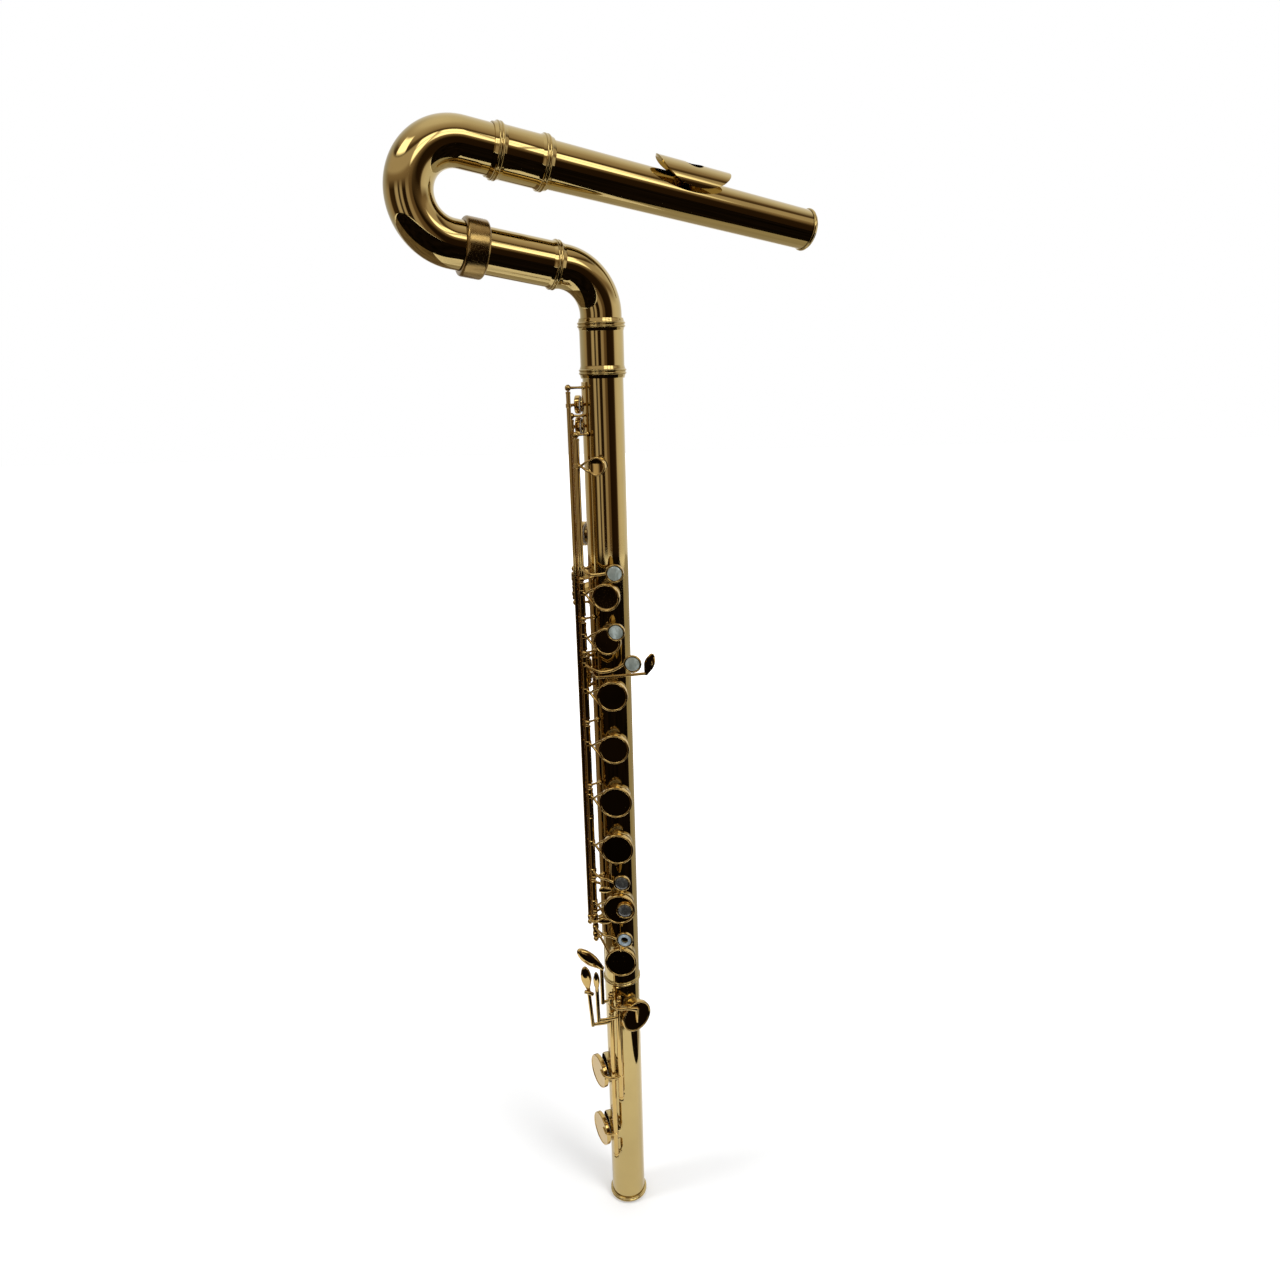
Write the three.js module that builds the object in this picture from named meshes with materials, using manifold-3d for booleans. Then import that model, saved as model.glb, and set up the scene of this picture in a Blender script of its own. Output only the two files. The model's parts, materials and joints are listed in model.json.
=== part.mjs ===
// An upright bass flute: a straight body and foot joint under a bent neck,
// a U-bend and a level head tube. Millimetres, +Z up the body, the keys face -Y.
// The origin is the centre of the foot joint's open end.
import * as THREE from "three";
import { mergeVertices } from "three/addons/utils/BufferGeometryUtils.js";
import Module from "manifold-3d";

const wasm = await Module();
wasm.setup();

// Fits between pieces
const FIT_GAP = 0.3; // between a piece and what it fits in or rests on
const CUT_OVERRUN = 1; // how far a cut runs past the face it opens
const WELD = 0.0001; // vertices nearer than this are one vertex
const MERGE = 0.5; // how far a soldered limb sinks into the piece it joins

// Facets round a full circle
const TUBE_SIDES = 16;
const BEND_SIDES = 16;
const BEND_STEPS = 12;
const ELBOW_STEPS = 8;
const CUP_SIDES = 12;
const SMALL_SIDES = 8;
const BORE_SIDES = 6;
const CHIMNEY_SIDES = 10;
const ROD_SIDES = 6;

// Main tube of the body and the foot
const TUBE_OD = 32;
const TUBE_WALL = 0.6;
const FOOT_LENGTH = 252;
const FOOT_TENON_LENGTH = 24;
const BODY_TOP_Z = 557;

// Tone holes, by the height of each one's centre. All heights on the body are
// measured from the foot joint, those on the foot from its open end
const TRILL_D_SHARP_Z = 516.3;
const TRILL_D_Z = 499.8;
const C_Z = 470.6;
const THUMB_B_Z = 412.6;
const B_FLAT_Z = 366.6;
const A_Z = 329.9;
const G_SHARP_Z = 296;
const UPPER_G_Z = 282.6;
const LOWER_G_Z = 235.4;
const F_SHARP_Z = 186.7;
const F_Z = 142;
const E_Z = 82.9;
const D_Z = 28.8;
const D_SHARP_Z = 218;
const LOW_C_SHARP_Z = 150.5;
const LOW_C_Z = 82.5;

// Which way each tone hole faces: degrees from -Y towards -X
const C_FACE = 14;
const LEFT_HAND_FACE = 4;
const RIGHT_HAND_FACE = -3;
const TRILL_FACE = 98;
const THUMB_FACE = 118;
const G_SHARP_FACE = 112;
const D_SHARP_FACE = -34;
const LOW_C_FACE = 73;

// Key cups, the pads in them and the drawn chimneys under them
const TRILL_CUP_R = 7.2;
const C_CUP_R = 7.5;
const THUMB_CUP_R = 10;
const LEFT_HAND_CUP_R = 11.5;
const G_SHARP_CUP_R = 8;
const G_CUP_R = 13;
const RIGHT_HAND_CUP_R = 14.2;
const D_SHARP_CUP_R = 15.2;
const LOW_C_CUP_R = 15.5;
const CUP_OVERHANG = 1.7; // cup radius beyond its chimney
const CUP_WALL = 0.8;
const CUP_HEIGHT = 4;
const CUP_BEAD = 1.1; // width of the raised ring round a cup's face
const CUP_DISH = 0.5; // depth of a cup's face below its ring
const PAD_PROUD = 0.6; // how far a pad stands out of its cup
const PAD_THICKNESS = 2.4;
const CHIMNEY_RISE = 3.2; // rim of a chimney above the tube
const SIDE_CHIMNEY_RISE = 1.6; // the same on the holes of the left side
const CHIMNEY_WALL = 0.8;

// Rods: hinge tubes of the keys turn on steels held in ball posts
const HINGE_R = 2.3;
const STEEL_R = 1.1;
const TRILL_HINGE_R = 1.7;
const TRILL_STEEL_R = 0.8;
const BALL_R = 2.4;
const POST_R = 1.1;
const RIB_THICKNESS = 1;
const RIB_WIDTH = 7.5;
const RIB_FACE = 64;
const THUMB_RIB_FACE = 92;
const FOOT_RIB_FACE = 17.5;
const RIB_END = 4; // how far a rib runs past its last post
const POST_FOOT_R = 2;
const POST_FOOT_HEIGHT = 1.6;

// Hinge lines: degrees from -Y towards -X, and height over the tube
const MAIN_LINE_FACE = 52;
const MAIN_LINE_LIFT = 11.6;
const TRILL_LINE_FACE = 61;
const TRILL_LINE_LIFT = 14.4;
const SECOND_TRILL_FACE = 71;
const SECOND_TRILL_LIFT = 10.6;
const THUMB_LINE_FACE = 86;
const THUMB_LINE_LIFT = 12.4;
const G_SHARP_LINE_FACE = 73;
const G_SHARP_LINE_LIFT = 4.6;
const LOW_C_LINE_FACE = 26;
const LOW_C_LINE_LIFT = 7.6;
const LOW_C_SHARP_LINE_FACE = 9;
const LOW_C_SHARP_LINE_LIFT = 7.4;

// Posts along the hinge lines, by height
const TRILL_TOP_POST_Z = 529.5;
const SECOND_TRILL_TOP_POST_Z = 508.2;
const TRILL_LOW_POST_Z = 64.5;
const MAIN_TOP_POST_Z = 494.2;
const BODY_MIDDLE_POST_Z = 380.2;
const A_TOP_POST_Z = 347;
const G_TOP_POST_Z = 318;
const G_MIDDLE_POST_Z = 257;
const RIGHT_HAND_POST_Z = 199;
const E_TOP_POST_Z = 109.8;
const D_TOP_POST_Z = 75.7;
const MAIN_LOW_POST_Z = 48.3;
const THUMB_TOP_POST_Z = 386;
const THUMB_LOW_POST_Z = 357.5;
const G_SHARP_TOP_POST_Z = 312.5;
const G_SHARP_LOW_POST_Z = 287;
const FOOT_TOP_POST_Z = 243.5;
const FOOT_UPPER_POST_Z = 222.5;
const LOW_C_SHARP_TOP_POST_Z = 237;
const LOW_C_SHARP_POST_Z = 128;
const LOW_C_POST_Z = 60;

// How far each kind of key swings, in degrees
const MAIN_SWING = 8;
const FOOT_SWING = 10;

// Limbs of the keys
const ARM_WIDTH = 2.6;
const ARM_THICKNESS = 2;
const TOUCH_ARM_WIDTH = 2.4;

// Thumb touches
const THUMB_TOUCH_FACE = 136;
const THUMB_TOUCH_SPAN = 22;
const THUMB_TOUCH_LIFT = 9;
const THUMB_KNEE_SHARE = 1.2;
const THUMB_TOUCH_WIDTH = 9;
const THUMB_TOUCH_DROP = 1;
const THUMB_ARM_LIFT = 9.5;

// Finger touches with their pearls
const TOUCH_R = 7.4;
const TOUCH_WALL = 1.2;
const TOUCH_HEIGHT = 2.8;
const TOUCH_FLOOR = 1;
const PEARL_RISE = 0.9;
const LH_FIRST_TOUCH_Z = 387.7;
const LH_FIRST_TOUCH_X = 7.2;
const LH_SECOND_PEARL_Z = 338.6;
const LH_SECOND_PEARL_X = 8.1;
const LH_THIRD_TOUCH_Z = 313;
const LH_THIRD_TOUCH_X = 19.6;
const RH_FIRST_TOUCH_Z = 112.6;
const RH_FIRST_TOUCH_X = 5.2;
const RH_SECOND_PEARL_X = 5.2;
const RH_THIRD_TOUCH_Z = 56.2;
const RH_THIRD_TOUCH_X = 6.3;
const RING_PEARL_HOLE_R = 2.9;
const TOUCH_PLANE_LIFT = 11; // underside of the touches over the tube
const LH_FIRST_ROOT_Z = 389.5;
const LH_FIRST_DIP = 3;
const LH_THIRD_ROOT_Z = 308.5;
const LH_THIRD_DIP = 3.5;
const RH_FIRST_ROOT_Z = 117.5;
const RH_THIRD_ROOT_Z = 60.5;
const RH_DIP = 1;
const RH_LINK_TURN = -62; // where the F key's link leaves its cup
const D_SIDE_TURN = 40; // where the D key's side limb meets its cup
const ARM_DROP = 3; // how far above a cup's middle its arm starts

// Levers and leaves for the little fingers
const LEAF_THICKNESS = 2;
const G_SHARP_BAR_Z = 299;
const G_SHARP_BAR_LIFT = 8.6;
const G_SHARP_LEAF_X = 29.5;
const G_SHARP_LEAF_LEAN = 4.5;
const G_SHARP_LEAF_LENGTH = 19.5;
const G_SHARP_LEAF_WIDTH = 8;
const FOOT_LEAF_LIFT = 9;
const FOOT_LEVER_WIDTH = 3.4;
const FOOT_LEAF_LOW_Z = 257;
const D_SHARP_ARM_Z = 232.5;
const D_SHARP_ARM_TURN = 55;
const D_SHARP_TIP_SHARE = 1.4;
const D_SHARP_ARM_SHARE = 1.5;
const D_SHARP_STEM_X = -17.5;
const D_SHARP_STEM_Z = 238.5;
const D_SHARP_LEAF_LOW_Z = 276.5;
const D_SHARP_LEAF_X = -38;
const D_SHARP_LEAF_HIGH_Z = 295.5;
const D_SHARP_LEAF_WIDTH = 10;
const LOW_C_SHARP_STEM_X = -22.5;
const LOW_C_SHARP_STEM_Z = 223;
const LOW_C_SHARP_LEAN = 1.2;
const LOW_C_SHARP_LEAF_HIGH_Z = 276;
const LOW_C_SHARP_LEAF_WIDTH = 5.5;
const LOW_C_STEM_X = -28;
const LOW_C_STEM_Z = 217;
const LOW_C_LEAN = 2.5;
const LOW_C_LEAF_HIGH_Z = 281;
const LOW_C_LEAF_WIDTH = 9;
const LOW_ARM_TURN = 42; // how far below its cup's middle a low key's arm starts, in degrees

// Trill touches
const TRILL_TOUCH_LENGTH = 11;
const TRILL_TOUCH_WIDTH = 6;
const TRILL_D_SHARP_TOUCH_Z = 69.8;
const TRILL_D_TOUCH_Z = 101;
const TRILL_TOUCH_REACH = 13.5; // across, from the hinge line to the middle of the touch
const TRILL_TOUCH_LIFT = 7.4;

// Barrel and neck
const BARREL_LENGTH = 44;
const BARREL_WALL = 0.8;
const BARREL_OVERLAP = 21;
const RING_WALL = 0.6;
const RING_WIDTH = 4.4;
const RING_RISE = 1;
const SLEEVE_RING_WIDTH = 9.5; // the wider swell at the ends of the barrel, receiver and socket
const SLEEVE_RING_RISE = 1.5;
const ELBOW_START = 2.2; // elbow's first bent section over the barrel's top
const ELBOW_R = 34.7;
const HEAD_TILT = 9.53; // degrees that the head's tubes lean from level
const HEAD_SWIVEL = 24; // degrees that the head is turned on the barrel
const RECEIVER_OD = 32.8;
const RECEIVER_START = 2.9; // past the end of the elbow's bend
const RECEIVER_LENGTH = 74.4;
const RECEIVER_OVERLAP = 14;
const RECEIVER_NECKING = 0.4; // how much narrower the slide's bore is than the elbow's seat
const COLLAR_OD = 41;
const COLLAR_LENGTH = 17;

// U-bend and the socket of the head tube
const SLIDE_TENON_LENGTH = 52;
const BEND_OD = 34.1;
const BEND_R = 33.2;
const BEND_LEAD = 5.8; // straight part from the collar to the bend
const BEND_EXIT = 30; // straight part from the bend into the socket
const SOCKET_START = 19.6; // from the end of the bend
const SOCKET_LENGTH = 44.2;
const SOCKET_WALL = 0.7;

// Head tube, by distances from the end of the bend
const HEAD_TUBE_START = 34;
const HEAD_TUBE_END = 284.8;
const HEAD_TUBE_OD = 33.4;
const HEAD_TUBE_CROWN_OD = 30.6;
const EMBOUCHURE_AT = 175;
const EMBOUCHURE_LENGTH = 15;
const EMBOUCHURE_WIDTH = 13;
const RISER_WALL = 1.6;
const LIP_PLATE_LENGTH = 62;
const LIP_PLATE_WIDTH = 36;
const LIP_PLATE_RISE = 8.2; // underside over the head tube
const LIP_PLATE_UNDER_R = 18.6; // how tightly the plate curls over the tube
const LIP_PLATE_THICKNESS = 1.4;
const LIP_ROLL = 22; // degrees that the lip plate is turned about the head tube
const LIP_SIDES = 32;
const CROWN_LENGTH = 5;
const CROWN_RISE = 0.7;
const CROWN_PLUG = 9;
const CORK_AT = 16; // from the embouchure's centre to the cork's face
const CORK_LENGTH = 20;
const CORK_SCREW_R = 2;
const CORK_SCREW_GRIP = 4; // length of the screw inside the crown
const CORK_PLAY = 1; // room past the screw's end in the cork

// Sizes that follow from the ones above
const TUBE_R = TUBE_OD / 2;
const BORE_R = TUBE_R - TUBE_WALL;
const TENON_R = BORE_R - FIT_GAP;
const BARREL_TOP_Z = BODY_TOP_Z - BARREL_OVERLAP + BARREL_LENGTH;
const ARM_LEVEL = CUP_HEIGHT - ARM_THICKNESS / 2; // middle of an arm above its cup's lower edge

const HALF_TURN = 180;
const DEG = Math.PI / HALF_TURN;

// Corners of a limb's section, as shares of half its width and half its thickness
const SECTION_SHARE = [[0.7, 1], [-0.7, 1], [-1, -1], [1, -1]];

// Outer line of a bead, as shares of its rise and its width
const BEAD_SHARE = [[0, 0], [1, 0.2], [1, 0.8], [0, 1]];
const SWELL_SHARE = [[0, 0], [0.6, 0.2], [1, 0.36], [1, 0.64], [0.6, 0.8], [0, 1]];

// A post's ball, as shares of its wall round the bore and of half its height
const BALL_SHARE = [[0, -1], [1, -0.45], [1, 0.45], [0, 1]];

// Section of the slide's collar, as shares of its wall and its length
const COLLAR_SHARE = [[0, 0], [0.8, 0], [1, 0.15], [1, 0.85], [0.8, 1], [0, 1]];

// How round the lip plate's outline is: 1 is an ellipse, less is squarer
const LIP_ROUND_SHARE = 1.1;

// Where an arm forks, as a share of its length, the width of a prong, and the prongs' ends in degrees
const FORK_SHARE = 0.4;
const PRONG_SHARE = 0.8;
const FORK_TURNS = [-38, 38];

// Line of a touch's arm, as shares of its run across, of its rise and of its way along the tube
const TOUCH_ARM_SHARE = [[0, 0, 0], [0.2, 0.55, 0.02], [0.45, 0.95, 0.08], [0.75, 1, 0.35], [1, 1, 1]];

// A trill touch, as shares of half its length and of its width
const PADDLE_SHARE = [[-1, 0.45], [-0.6, 0.85], [0, 1], [0.6, 0.85], [1, 0.4]];

// A leaf, as shares of its length, its width and its thickness
const LEAF_SHARE = [
  [0, 0.3, 0], [0.2, 0.65, 0.1], [0.45, 1, 0.3], [0.75, 0.95, 0.3], [0.93, 0.6, 0.1], [1, 0.25, 0],
];

const RIGHT_ANGLE = HALF_TURN / 2;

const hole = (face, z, cupR, rise = CHIMNEY_RISE, padded = false) => ({ face, z, cupR, rise, padded });

// The tone holes
const HOLES = {
  trillDSharp: hole(TRILL_FACE, TRILL_D_SHARP_Z, TRILL_CUP_R, SIDE_CHIMNEY_RISE),
  trillD: hole(TRILL_FACE, TRILL_D_Z, TRILL_CUP_R, SIDE_CHIMNEY_RISE),
  c: hole(C_FACE, C_Z, C_CUP_R),
  thumbB: hole(THUMB_FACE, THUMB_B_Z, THUMB_CUP_R, SIDE_CHIMNEY_RISE),
  bFlat: hole(LEFT_HAND_FACE, B_FLAT_Z, LEFT_HAND_CUP_R),
  a: hole(LEFT_HAND_FACE, A_Z, LEFT_HAND_CUP_R),
  gSharp: hole(G_SHARP_FACE, G_SHARP_Z, G_SHARP_CUP_R, SIDE_CHIMNEY_RISE),
  upperG: hole(RIGHT_HAND_FACE, UPPER_G_Z, G_CUP_R, CHIMNEY_RISE, true),
  lowerG: hole(RIGHT_HAND_FACE, LOWER_G_Z, G_CUP_R, CHIMNEY_RISE, true),
  fSharp: hole(RIGHT_HAND_FACE, F_SHARP_Z, RIGHT_HAND_CUP_R, CHIMNEY_RISE, true),
  f: hole(RIGHT_HAND_FACE, F_Z, RIGHT_HAND_CUP_R, CHIMNEY_RISE, true),
  e: hole(RIGHT_HAND_FACE, E_Z, RIGHT_HAND_CUP_R, CHIMNEY_RISE, true),
  d: hole(RIGHT_HAND_FACE, D_Z, RIGHT_HAND_CUP_R, CHIMNEY_RISE, true),
  dSharp: hole(D_SHARP_FACE, D_SHARP_Z, D_SHARP_CUP_R, CHIMNEY_RISE, true),
  lowCSharp: hole(LOW_C_FACE, LOW_C_SHARP_Z, LOW_C_CUP_R, CHIMNEY_RISE, true),
  lowC: hole(LOW_C_FACE, LOW_C_Z, LOW_C_CUP_R, CHIMNEY_RISE, true),
};

const rad = (degrees) => degrees * DEG;

// Direction across the tube, turned from -Y towards -X.
const facing = (degrees) => new THREE.Vector3(-Math.sin(rad(degrees)), -Math.cos(rad(degrees)), 0);

// A closed geometry as a solid.
function solid(geometry) {
  const plain = geometry.index ? geometry.toNonIndexed() : geometry.clone();
  for (const name of Object.keys(plain.attributes)) {
    if (name !== "position") plain.deleteAttribute(name);
  }
  const merged = mergeVertices(plain, WELD);
  const corners = merged.index.array;
  const kept = [];
  for (let i = 0; i < corners.length; i += 3) {
    const [a, b, c] = [corners[i], corners[i + 1], corners[i + 2]];
    if (a !== b && b !== c && c !== a) kept.push(a, b, c);
  }
  const vertProperties = merged.attributes.position.array;
  return new wasm.Manifold(new wasm.Mesh({ numProp: 3, vertProperties, triVerts: new Uint32Array(kept) }));
}

const join = (...solids) => solids.flat().reduce((all, one) => all.add(one));

function cut(whole, ...tools) {
  return tools.flat().reduce((left, tool) => left.subtract(tool), whole);
}

// A solid as a named mesh of one material.
function meshOf(name, body, material) {
  const made = body.getMesh();
  const vertices = new Float32Array(made.numVert * 3);
  for (let i = 0; i < made.numVert; i += 1) {
    vertices.set(made.vertProperties.subarray(i * made.numProp, i * made.numProp + 3), i * 3);
  }
  const geometry = new THREE.BufferGeometry();
  geometry.setAttribute("position", new THREE.BufferAttribute(vertices, 3));
  geometry.setIndex(new THREE.BufferAttribute(made.triVerts, 1));
  const flat = geometry.toNonIndexed();
  flat.computeVertexNormals();
  const mesh = new THREE.Mesh(flat, material);
  mesh.name = name;
  return mesh;
}

// A profile of [radius, height] points revolved about Z.
function revolve(profile, sides) {
  const points = profile.map(([r, h]) => new THREE.Vector2(r, h));
  if (THREE.ShapeUtils.area(points) < 0) points.reverse();
  points.push(points[0].clone());
  return solid(new THREE.LatheGeometry(points, sides).rotateX(Math.PI / 2));
}

// A tube or, with no bore, a rod along Z.
function pipe(outer, inner, low, high, sides) {
  return revolve([[inner, low], [outer, low], [outer, high], [inner, high]], sides);
}

// Moves a solid from its own frame, whose Z becomes `axis` and whose origin becomes `at`.
function placed(body, at, axis) {
  const up = new THREE.Vector3(0, 0, 1);
  const across = Math.abs(axis.z) > 1 / 2 ? new THREE.Vector3(1, 0, 0) : up;
  const side = new THREE.Vector3().crossVectors(across, axis).normalize();
  const other = new THREE.Vector3().crossVectors(axis, side);
  const frame = new THREE.Matrix4().makeBasis(side, other, axis).setPosition(at);
  return body.transform(frame.elements);
}

const moved = (body, x, y, z) => body.translate(x, y, z);

// A limb through stations [x, y, z, width up Z, thickness across], square to its run in plan.
function limb(stations) {
  const rings = stations.map(([x, y, z, width, thick], i) => {
    const before = stations[Math.max(i - 1, 0)];
    const after = stations[Math.min(i + 1, stations.length - 1)];
    const run = new THREE.Vector3(after[0] - before[0], after[1] - before[1], after[2] - before[2]).normalize();
    const flatRun = new THREE.Vector3(run.x, run.y, 0);
    const thin = flatRun.lengthSq() > WELD ? new THREE.Vector3(-run.y, run.x, 0).normalize()
      : new THREE.Vector3(0, 1, 0);
    const wide = new THREE.Vector3().crossVectors(run, thin).normalize();
    return SECTION_SHARE.map(([a, b]) => new THREE.Vector3(x, y, z)
      .addScaledVector(wide, (a * width) / 2).addScaledVector(thin, (b * thick) / 2));
  });
  return loft(rings);
}

// A closed skin over rings of as many points each.
function loft(rings) {
  const count = rings[0].length;
  const vertices = [];
  const put = (...points) => points.forEach((p) => vertices.push(p.x, p.y, p.z));
  for (let i = 0; i + 1 < rings.length; i += 1) {
    for (let j = 0; j < count; j += 1) {
      const k = (j + 1) % count;
      const [a, b, c, d] = [rings[i][j], rings[i][k], rings[i + 1][k], rings[i + 1][j]];
      put(a, b, c, a, c, d);
    }
  }
  const [first, last] = [rings[0], rings[rings.length - 1]];
  for (let j = 1; j + 1 < count; j += 1) {
    put(first[0], first[j + 1], first[j], last[0], last[j], last[j + 1]);
  }
  const flip = volumeSign(vertices) < 0;
  if (flip) {
    for (let i = 0; i < vertices.length; i += 9) {
      const held = vertices.slice(i + 3, i + 6);
      vertices.splice(i + 3, 3, ...vertices.slice(i + 6, i + 9));
      vertices.splice(i + 6, 3, ...held);
    }
  }
  const geometry = new THREE.BufferGeometry();
  geometry.setAttribute("position", new THREE.Float32BufferAttribute(vertices, 3));
  return solid(geometry);
}

// Six times the volume inside loose triangles.
function volumeSign(v) {
  let sum = 0;
  for (let i = 0; i < v.length; i += 9) {
    sum += v[i] * (v[i + 4] * v[i + 8] - v[i + 5] * v[i + 7]);
    sum += v[i + 1] * (v[i + 5] * v[i + 6] - v[i + 3] * v[i + 8]);
    sum += v[i + 2] * (v[i + 3] * v[i + 7] - v[i + 4] * v[i + 6]);
  }
  return sum;
}

// A flat outline of [x, y] points, `thick` deep from z = 0.
function slab(outline, thick) {
  const shape = new THREE.Shape(outline.map(([x, y]) => new THREE.Vector2(x, y)));
  return solid(new THREE.ExtrudeGeometry(shape, { depth: thick, bevelEnabled: false }));
}

// An annular tube along a bent path.
function bentTube(path, outer, inner) {
  const ring = new THREE.Shape(circlePoints(outer));
  ring.holes.push(new THREE.Path(circlePoints(inner)));
  return solid(new THREE.ExtrudeGeometry(ring, { steps: path.steps, bevelEnabled: false, extrudePath: path }));
}

function circlePoints(radius) {
  return Array.from({ length: BEND_SIDES }, (_, i) => {
    const angle = (i / BEND_SIDES) * 2 * Math.PI;
    return new THREE.Vector2(radius * Math.cos(angle), radius * Math.sin(angle));
  });
}

// A path in the XZ plane: a straight lead, an arc and a straight exit.
class BentPath extends THREE.Curve {
  constructor(lead, radius, turn, exit, steps) {
    super();
    Object.assign(this, { lead, radius, turn, exit, steps });
  }

  // The first and the last of the steps are the straight ends.
  getPoint(t) {
    const step = t * this.steps;
    const lead = this.lead * Math.min(step, 1);
    const angle = this.turn * THREE.MathUtils.clamp((step - 1) / (this.steps - 2), 0, 1);
    const past = this.exit * Math.max(step - this.steps + 1, 0);
    const x = -this.radius * (1 - Math.cos(angle)) - past * Math.sin(angle);
    const z = lead + this.radius * Math.sin(angle) + past * Math.cos(angle);
    return new THREE.Vector3(x, 0, z);
  }

  getUtoTmapping(u) {
    return u;
  }
}

// Outer points of a bead on a tube, [radius, height] upwards.
function beadPoints(radius, low) {
  return BEAD_SHARE.map(([rise, height]) => [radius + rise * RING_RISE, low + height * RING_WIDTH]);
}

// Points of a sleeve's wider ring.
function swellPoints(radius, low) {
  return SWELL_SHARE.map(([rise, height]) =>
    [radius + rise * SLEEVE_RING_RISE, low + height * SLEEVE_RING_WIDTH]);
}

// What a tone hole adds to its tube, and the hole through both.
function toneHole(hole) {
  const outer = hole.cupR - CUP_OVERHANG;
  const rim = rimRadius(hole);
  const axis = facing(hole.face);
  const at = new THREE.Vector3(0, 0, hole.z);
  const wall = pipe(TUBE_R - TUBE_WALL / 2, 0, hole.z - hole.cupR, hole.z + hole.cupR, TUBE_SIDES);
  const chimney = cut(placed(pipe(outer, 0, 0, rim, CHIMNEY_SIDES), at, axis), wall);
  const bore = placed(pipe(outer - CHIMNEY_WALL, 0, 0, rim + CUT_OVERRUN, CHIMNEY_SIDES), at, axis);
  return { chimney, bore };
}

const rimRadius = (hole) => TUBE_R + hole.rise;

function drilled(tube, holes) {
  const made = holes.map(toneHole);
  return cut(join(tube, made.map((one) => one.chimney)), made.map((one) => one.bore));
}

function footTube() {
  const bead = beadPoints(TUBE_R, FOOT_LENGTH - RING_WIDTH);
  const tube = revolve([[BORE_R, 0], [TUBE_R, 0], ...bead, [BORE_R, FOOT_LENGTH]], TUBE_SIDES);
  const posts = [
    [LINES.lowC, LOW_C_POST_Z], [LINES.lowC, FOOT_UPPER_POST_Z], [LINES.lowCSharp, LOW_C_SHARP_POST_Z],
  ]
    .map(([on, z]) => post(on, z, TUBE_R - TUBE_WALL / 2));
  return drilled(join(tube, posts), [HOLES.dSharp, HOLES.lowCSharp, HOLES.lowC]);
}

// A ring round the open end, with the same bead as the other joints.
function footEndRing() {
  const inner = TUBE_R + FIT_GAP;
  const bead = beadPoints(inner + RING_WALL, 0);
  return revolve([[inner, 0], ...bead, [inner, RING_WIDTH]], TUBE_SIDES);
}

// The body tube ends below in a tenon inside the foot.
function bodyTube() {
  const shoulder = FIT_GAP;
  const low = shoulder - FOOT_TENON_LENGTH;
  const narrow = TENON_R - TUBE_WALL;
  const tube = revolve([
    [narrow, low], [TENON_R, low], [TENON_R, shoulder], [TUBE_R, shoulder],
    [TUBE_R, BODY_TOP_Z], [BORE_R, BODY_TOP_Z], [BORE_R, shoulder + TUBE_WALL], [narrow, shoulder],
  ], TUBE_SIDES);
  const names = ["trillDSharp", "trillD", "c", "thumbB", "bFlat", "a", "gSharp",
    "upperG", "lowerG", "fSharp", "f", "e", "d"];
  return drilled(tube, names.map((name) => HOLES[name]));
}

// A sleeve with a bead at each end.
function beadedSleeve(inner, outer, length) {
  const low = swellPoints(outer, 0);
  const high = swellPoints(outer, length - SLEEVE_RING_WIDTH);
  return revolve([[inner, 0], ...low, ...high, [inner, length]], TUBE_SIDES);
}

function barrel() {
  const inner = TUBE_R + FIT_GAP;
  return moved(beadedSleeve(inner, inner + BARREL_WALL, BARREL_LENGTH), 0, 0, BODY_TOP_Z - BARREL_OVERLAP);
}

const neckBottom = () => BODY_TOP_Z + FIT_GAP;
const bendStart = () => BARREL_TOP_Z + ELBOW_START;
const elbowTurn = () => rad(RIGHT_ANGLE - HEAD_TILT);

function elbow() {
  const lead = bendStart() - neckBottom();
  const path = new BentPath(lead, ELBOW_R, elbowTurn(), RECEIVER_START + RECEIVER_OVERLAP, ELBOW_STEPS);
  return moved(bentTube(path, TUBE_R, BORE_R), 0, 0, neckBottom());
}

// The slide's receiver, with a bead where the elbow enters it.
function receiver() {
  const outer = RECEIVER_OD / 2;
  const inner = TUBE_R + FIT_GAP - RECEIVER_NECKING;
  const mouth = TUBE_R + FIT_GAP;
  const step = RECEIVER_OVERLAP + FIT_GAP;
  return revolve([
    [mouth, 0], ...swellPoints(outer, 0), [outer, RECEIVER_LENGTH],
    [inner, RECEIVER_LENGTH], [inner, step], [mouth, step],
  ], TUBE_SIDES);
}

function slideCollar() {
  const inner = RECEIVER_OD / 2 + FIT_GAP;
  const outer = COLLAR_OD / 2;
  return revolve(COLLAR_SHARE.map(([r, h]) => [inner + r * (outer - inner), h * COLLAR_LENGTH]), TUBE_SIDES);
}

// The U-bend with the tenon that slides in the receiver.
function uBend() {
  const path = new BentPath(BEND_LEAD, BEND_R, Math.PI, BEND_EXIT, BEND_STEPS);
  const outer = BEND_OD / 2;
  const bend = bentTube(path, outer, outer - TUBE_WALL);
  const tenonR = TUBE_R + FIT_GAP - RECEIVER_NECKING - FIT_GAP;
  const tenon = pipe(tenonR, tenonR - TUBE_WALL, -SLIDE_TENON_LENGTH, TUBE_WALL, TUBE_SIDES);
  const step = pipe(outer - TUBE_WALL / 2, tenonR - TUBE_WALL, 0, TUBE_WALL, TUBE_SIDES);
  return join(bend, tenon, step);
}

function headSocket() {
  const inner = Math.max(BEND_OD, HEAD_TUBE_OD) / 2 + FIT_GAP;
  return moved(beadedSleeve(inner, inner + SOCKET_WALL, SOCKET_LENGTH), 0, 0, SOCKET_START);
}

const headTubeR = (along) => {
  const share = (along - HEAD_TUBE_START) / (HEAD_TUBE_END - HEAD_TUBE_START);
  return (HEAD_TUBE_OD + (HEAD_TUBE_CROWN_OD - HEAD_TUBE_OD) * share) / 2;
};

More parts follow.
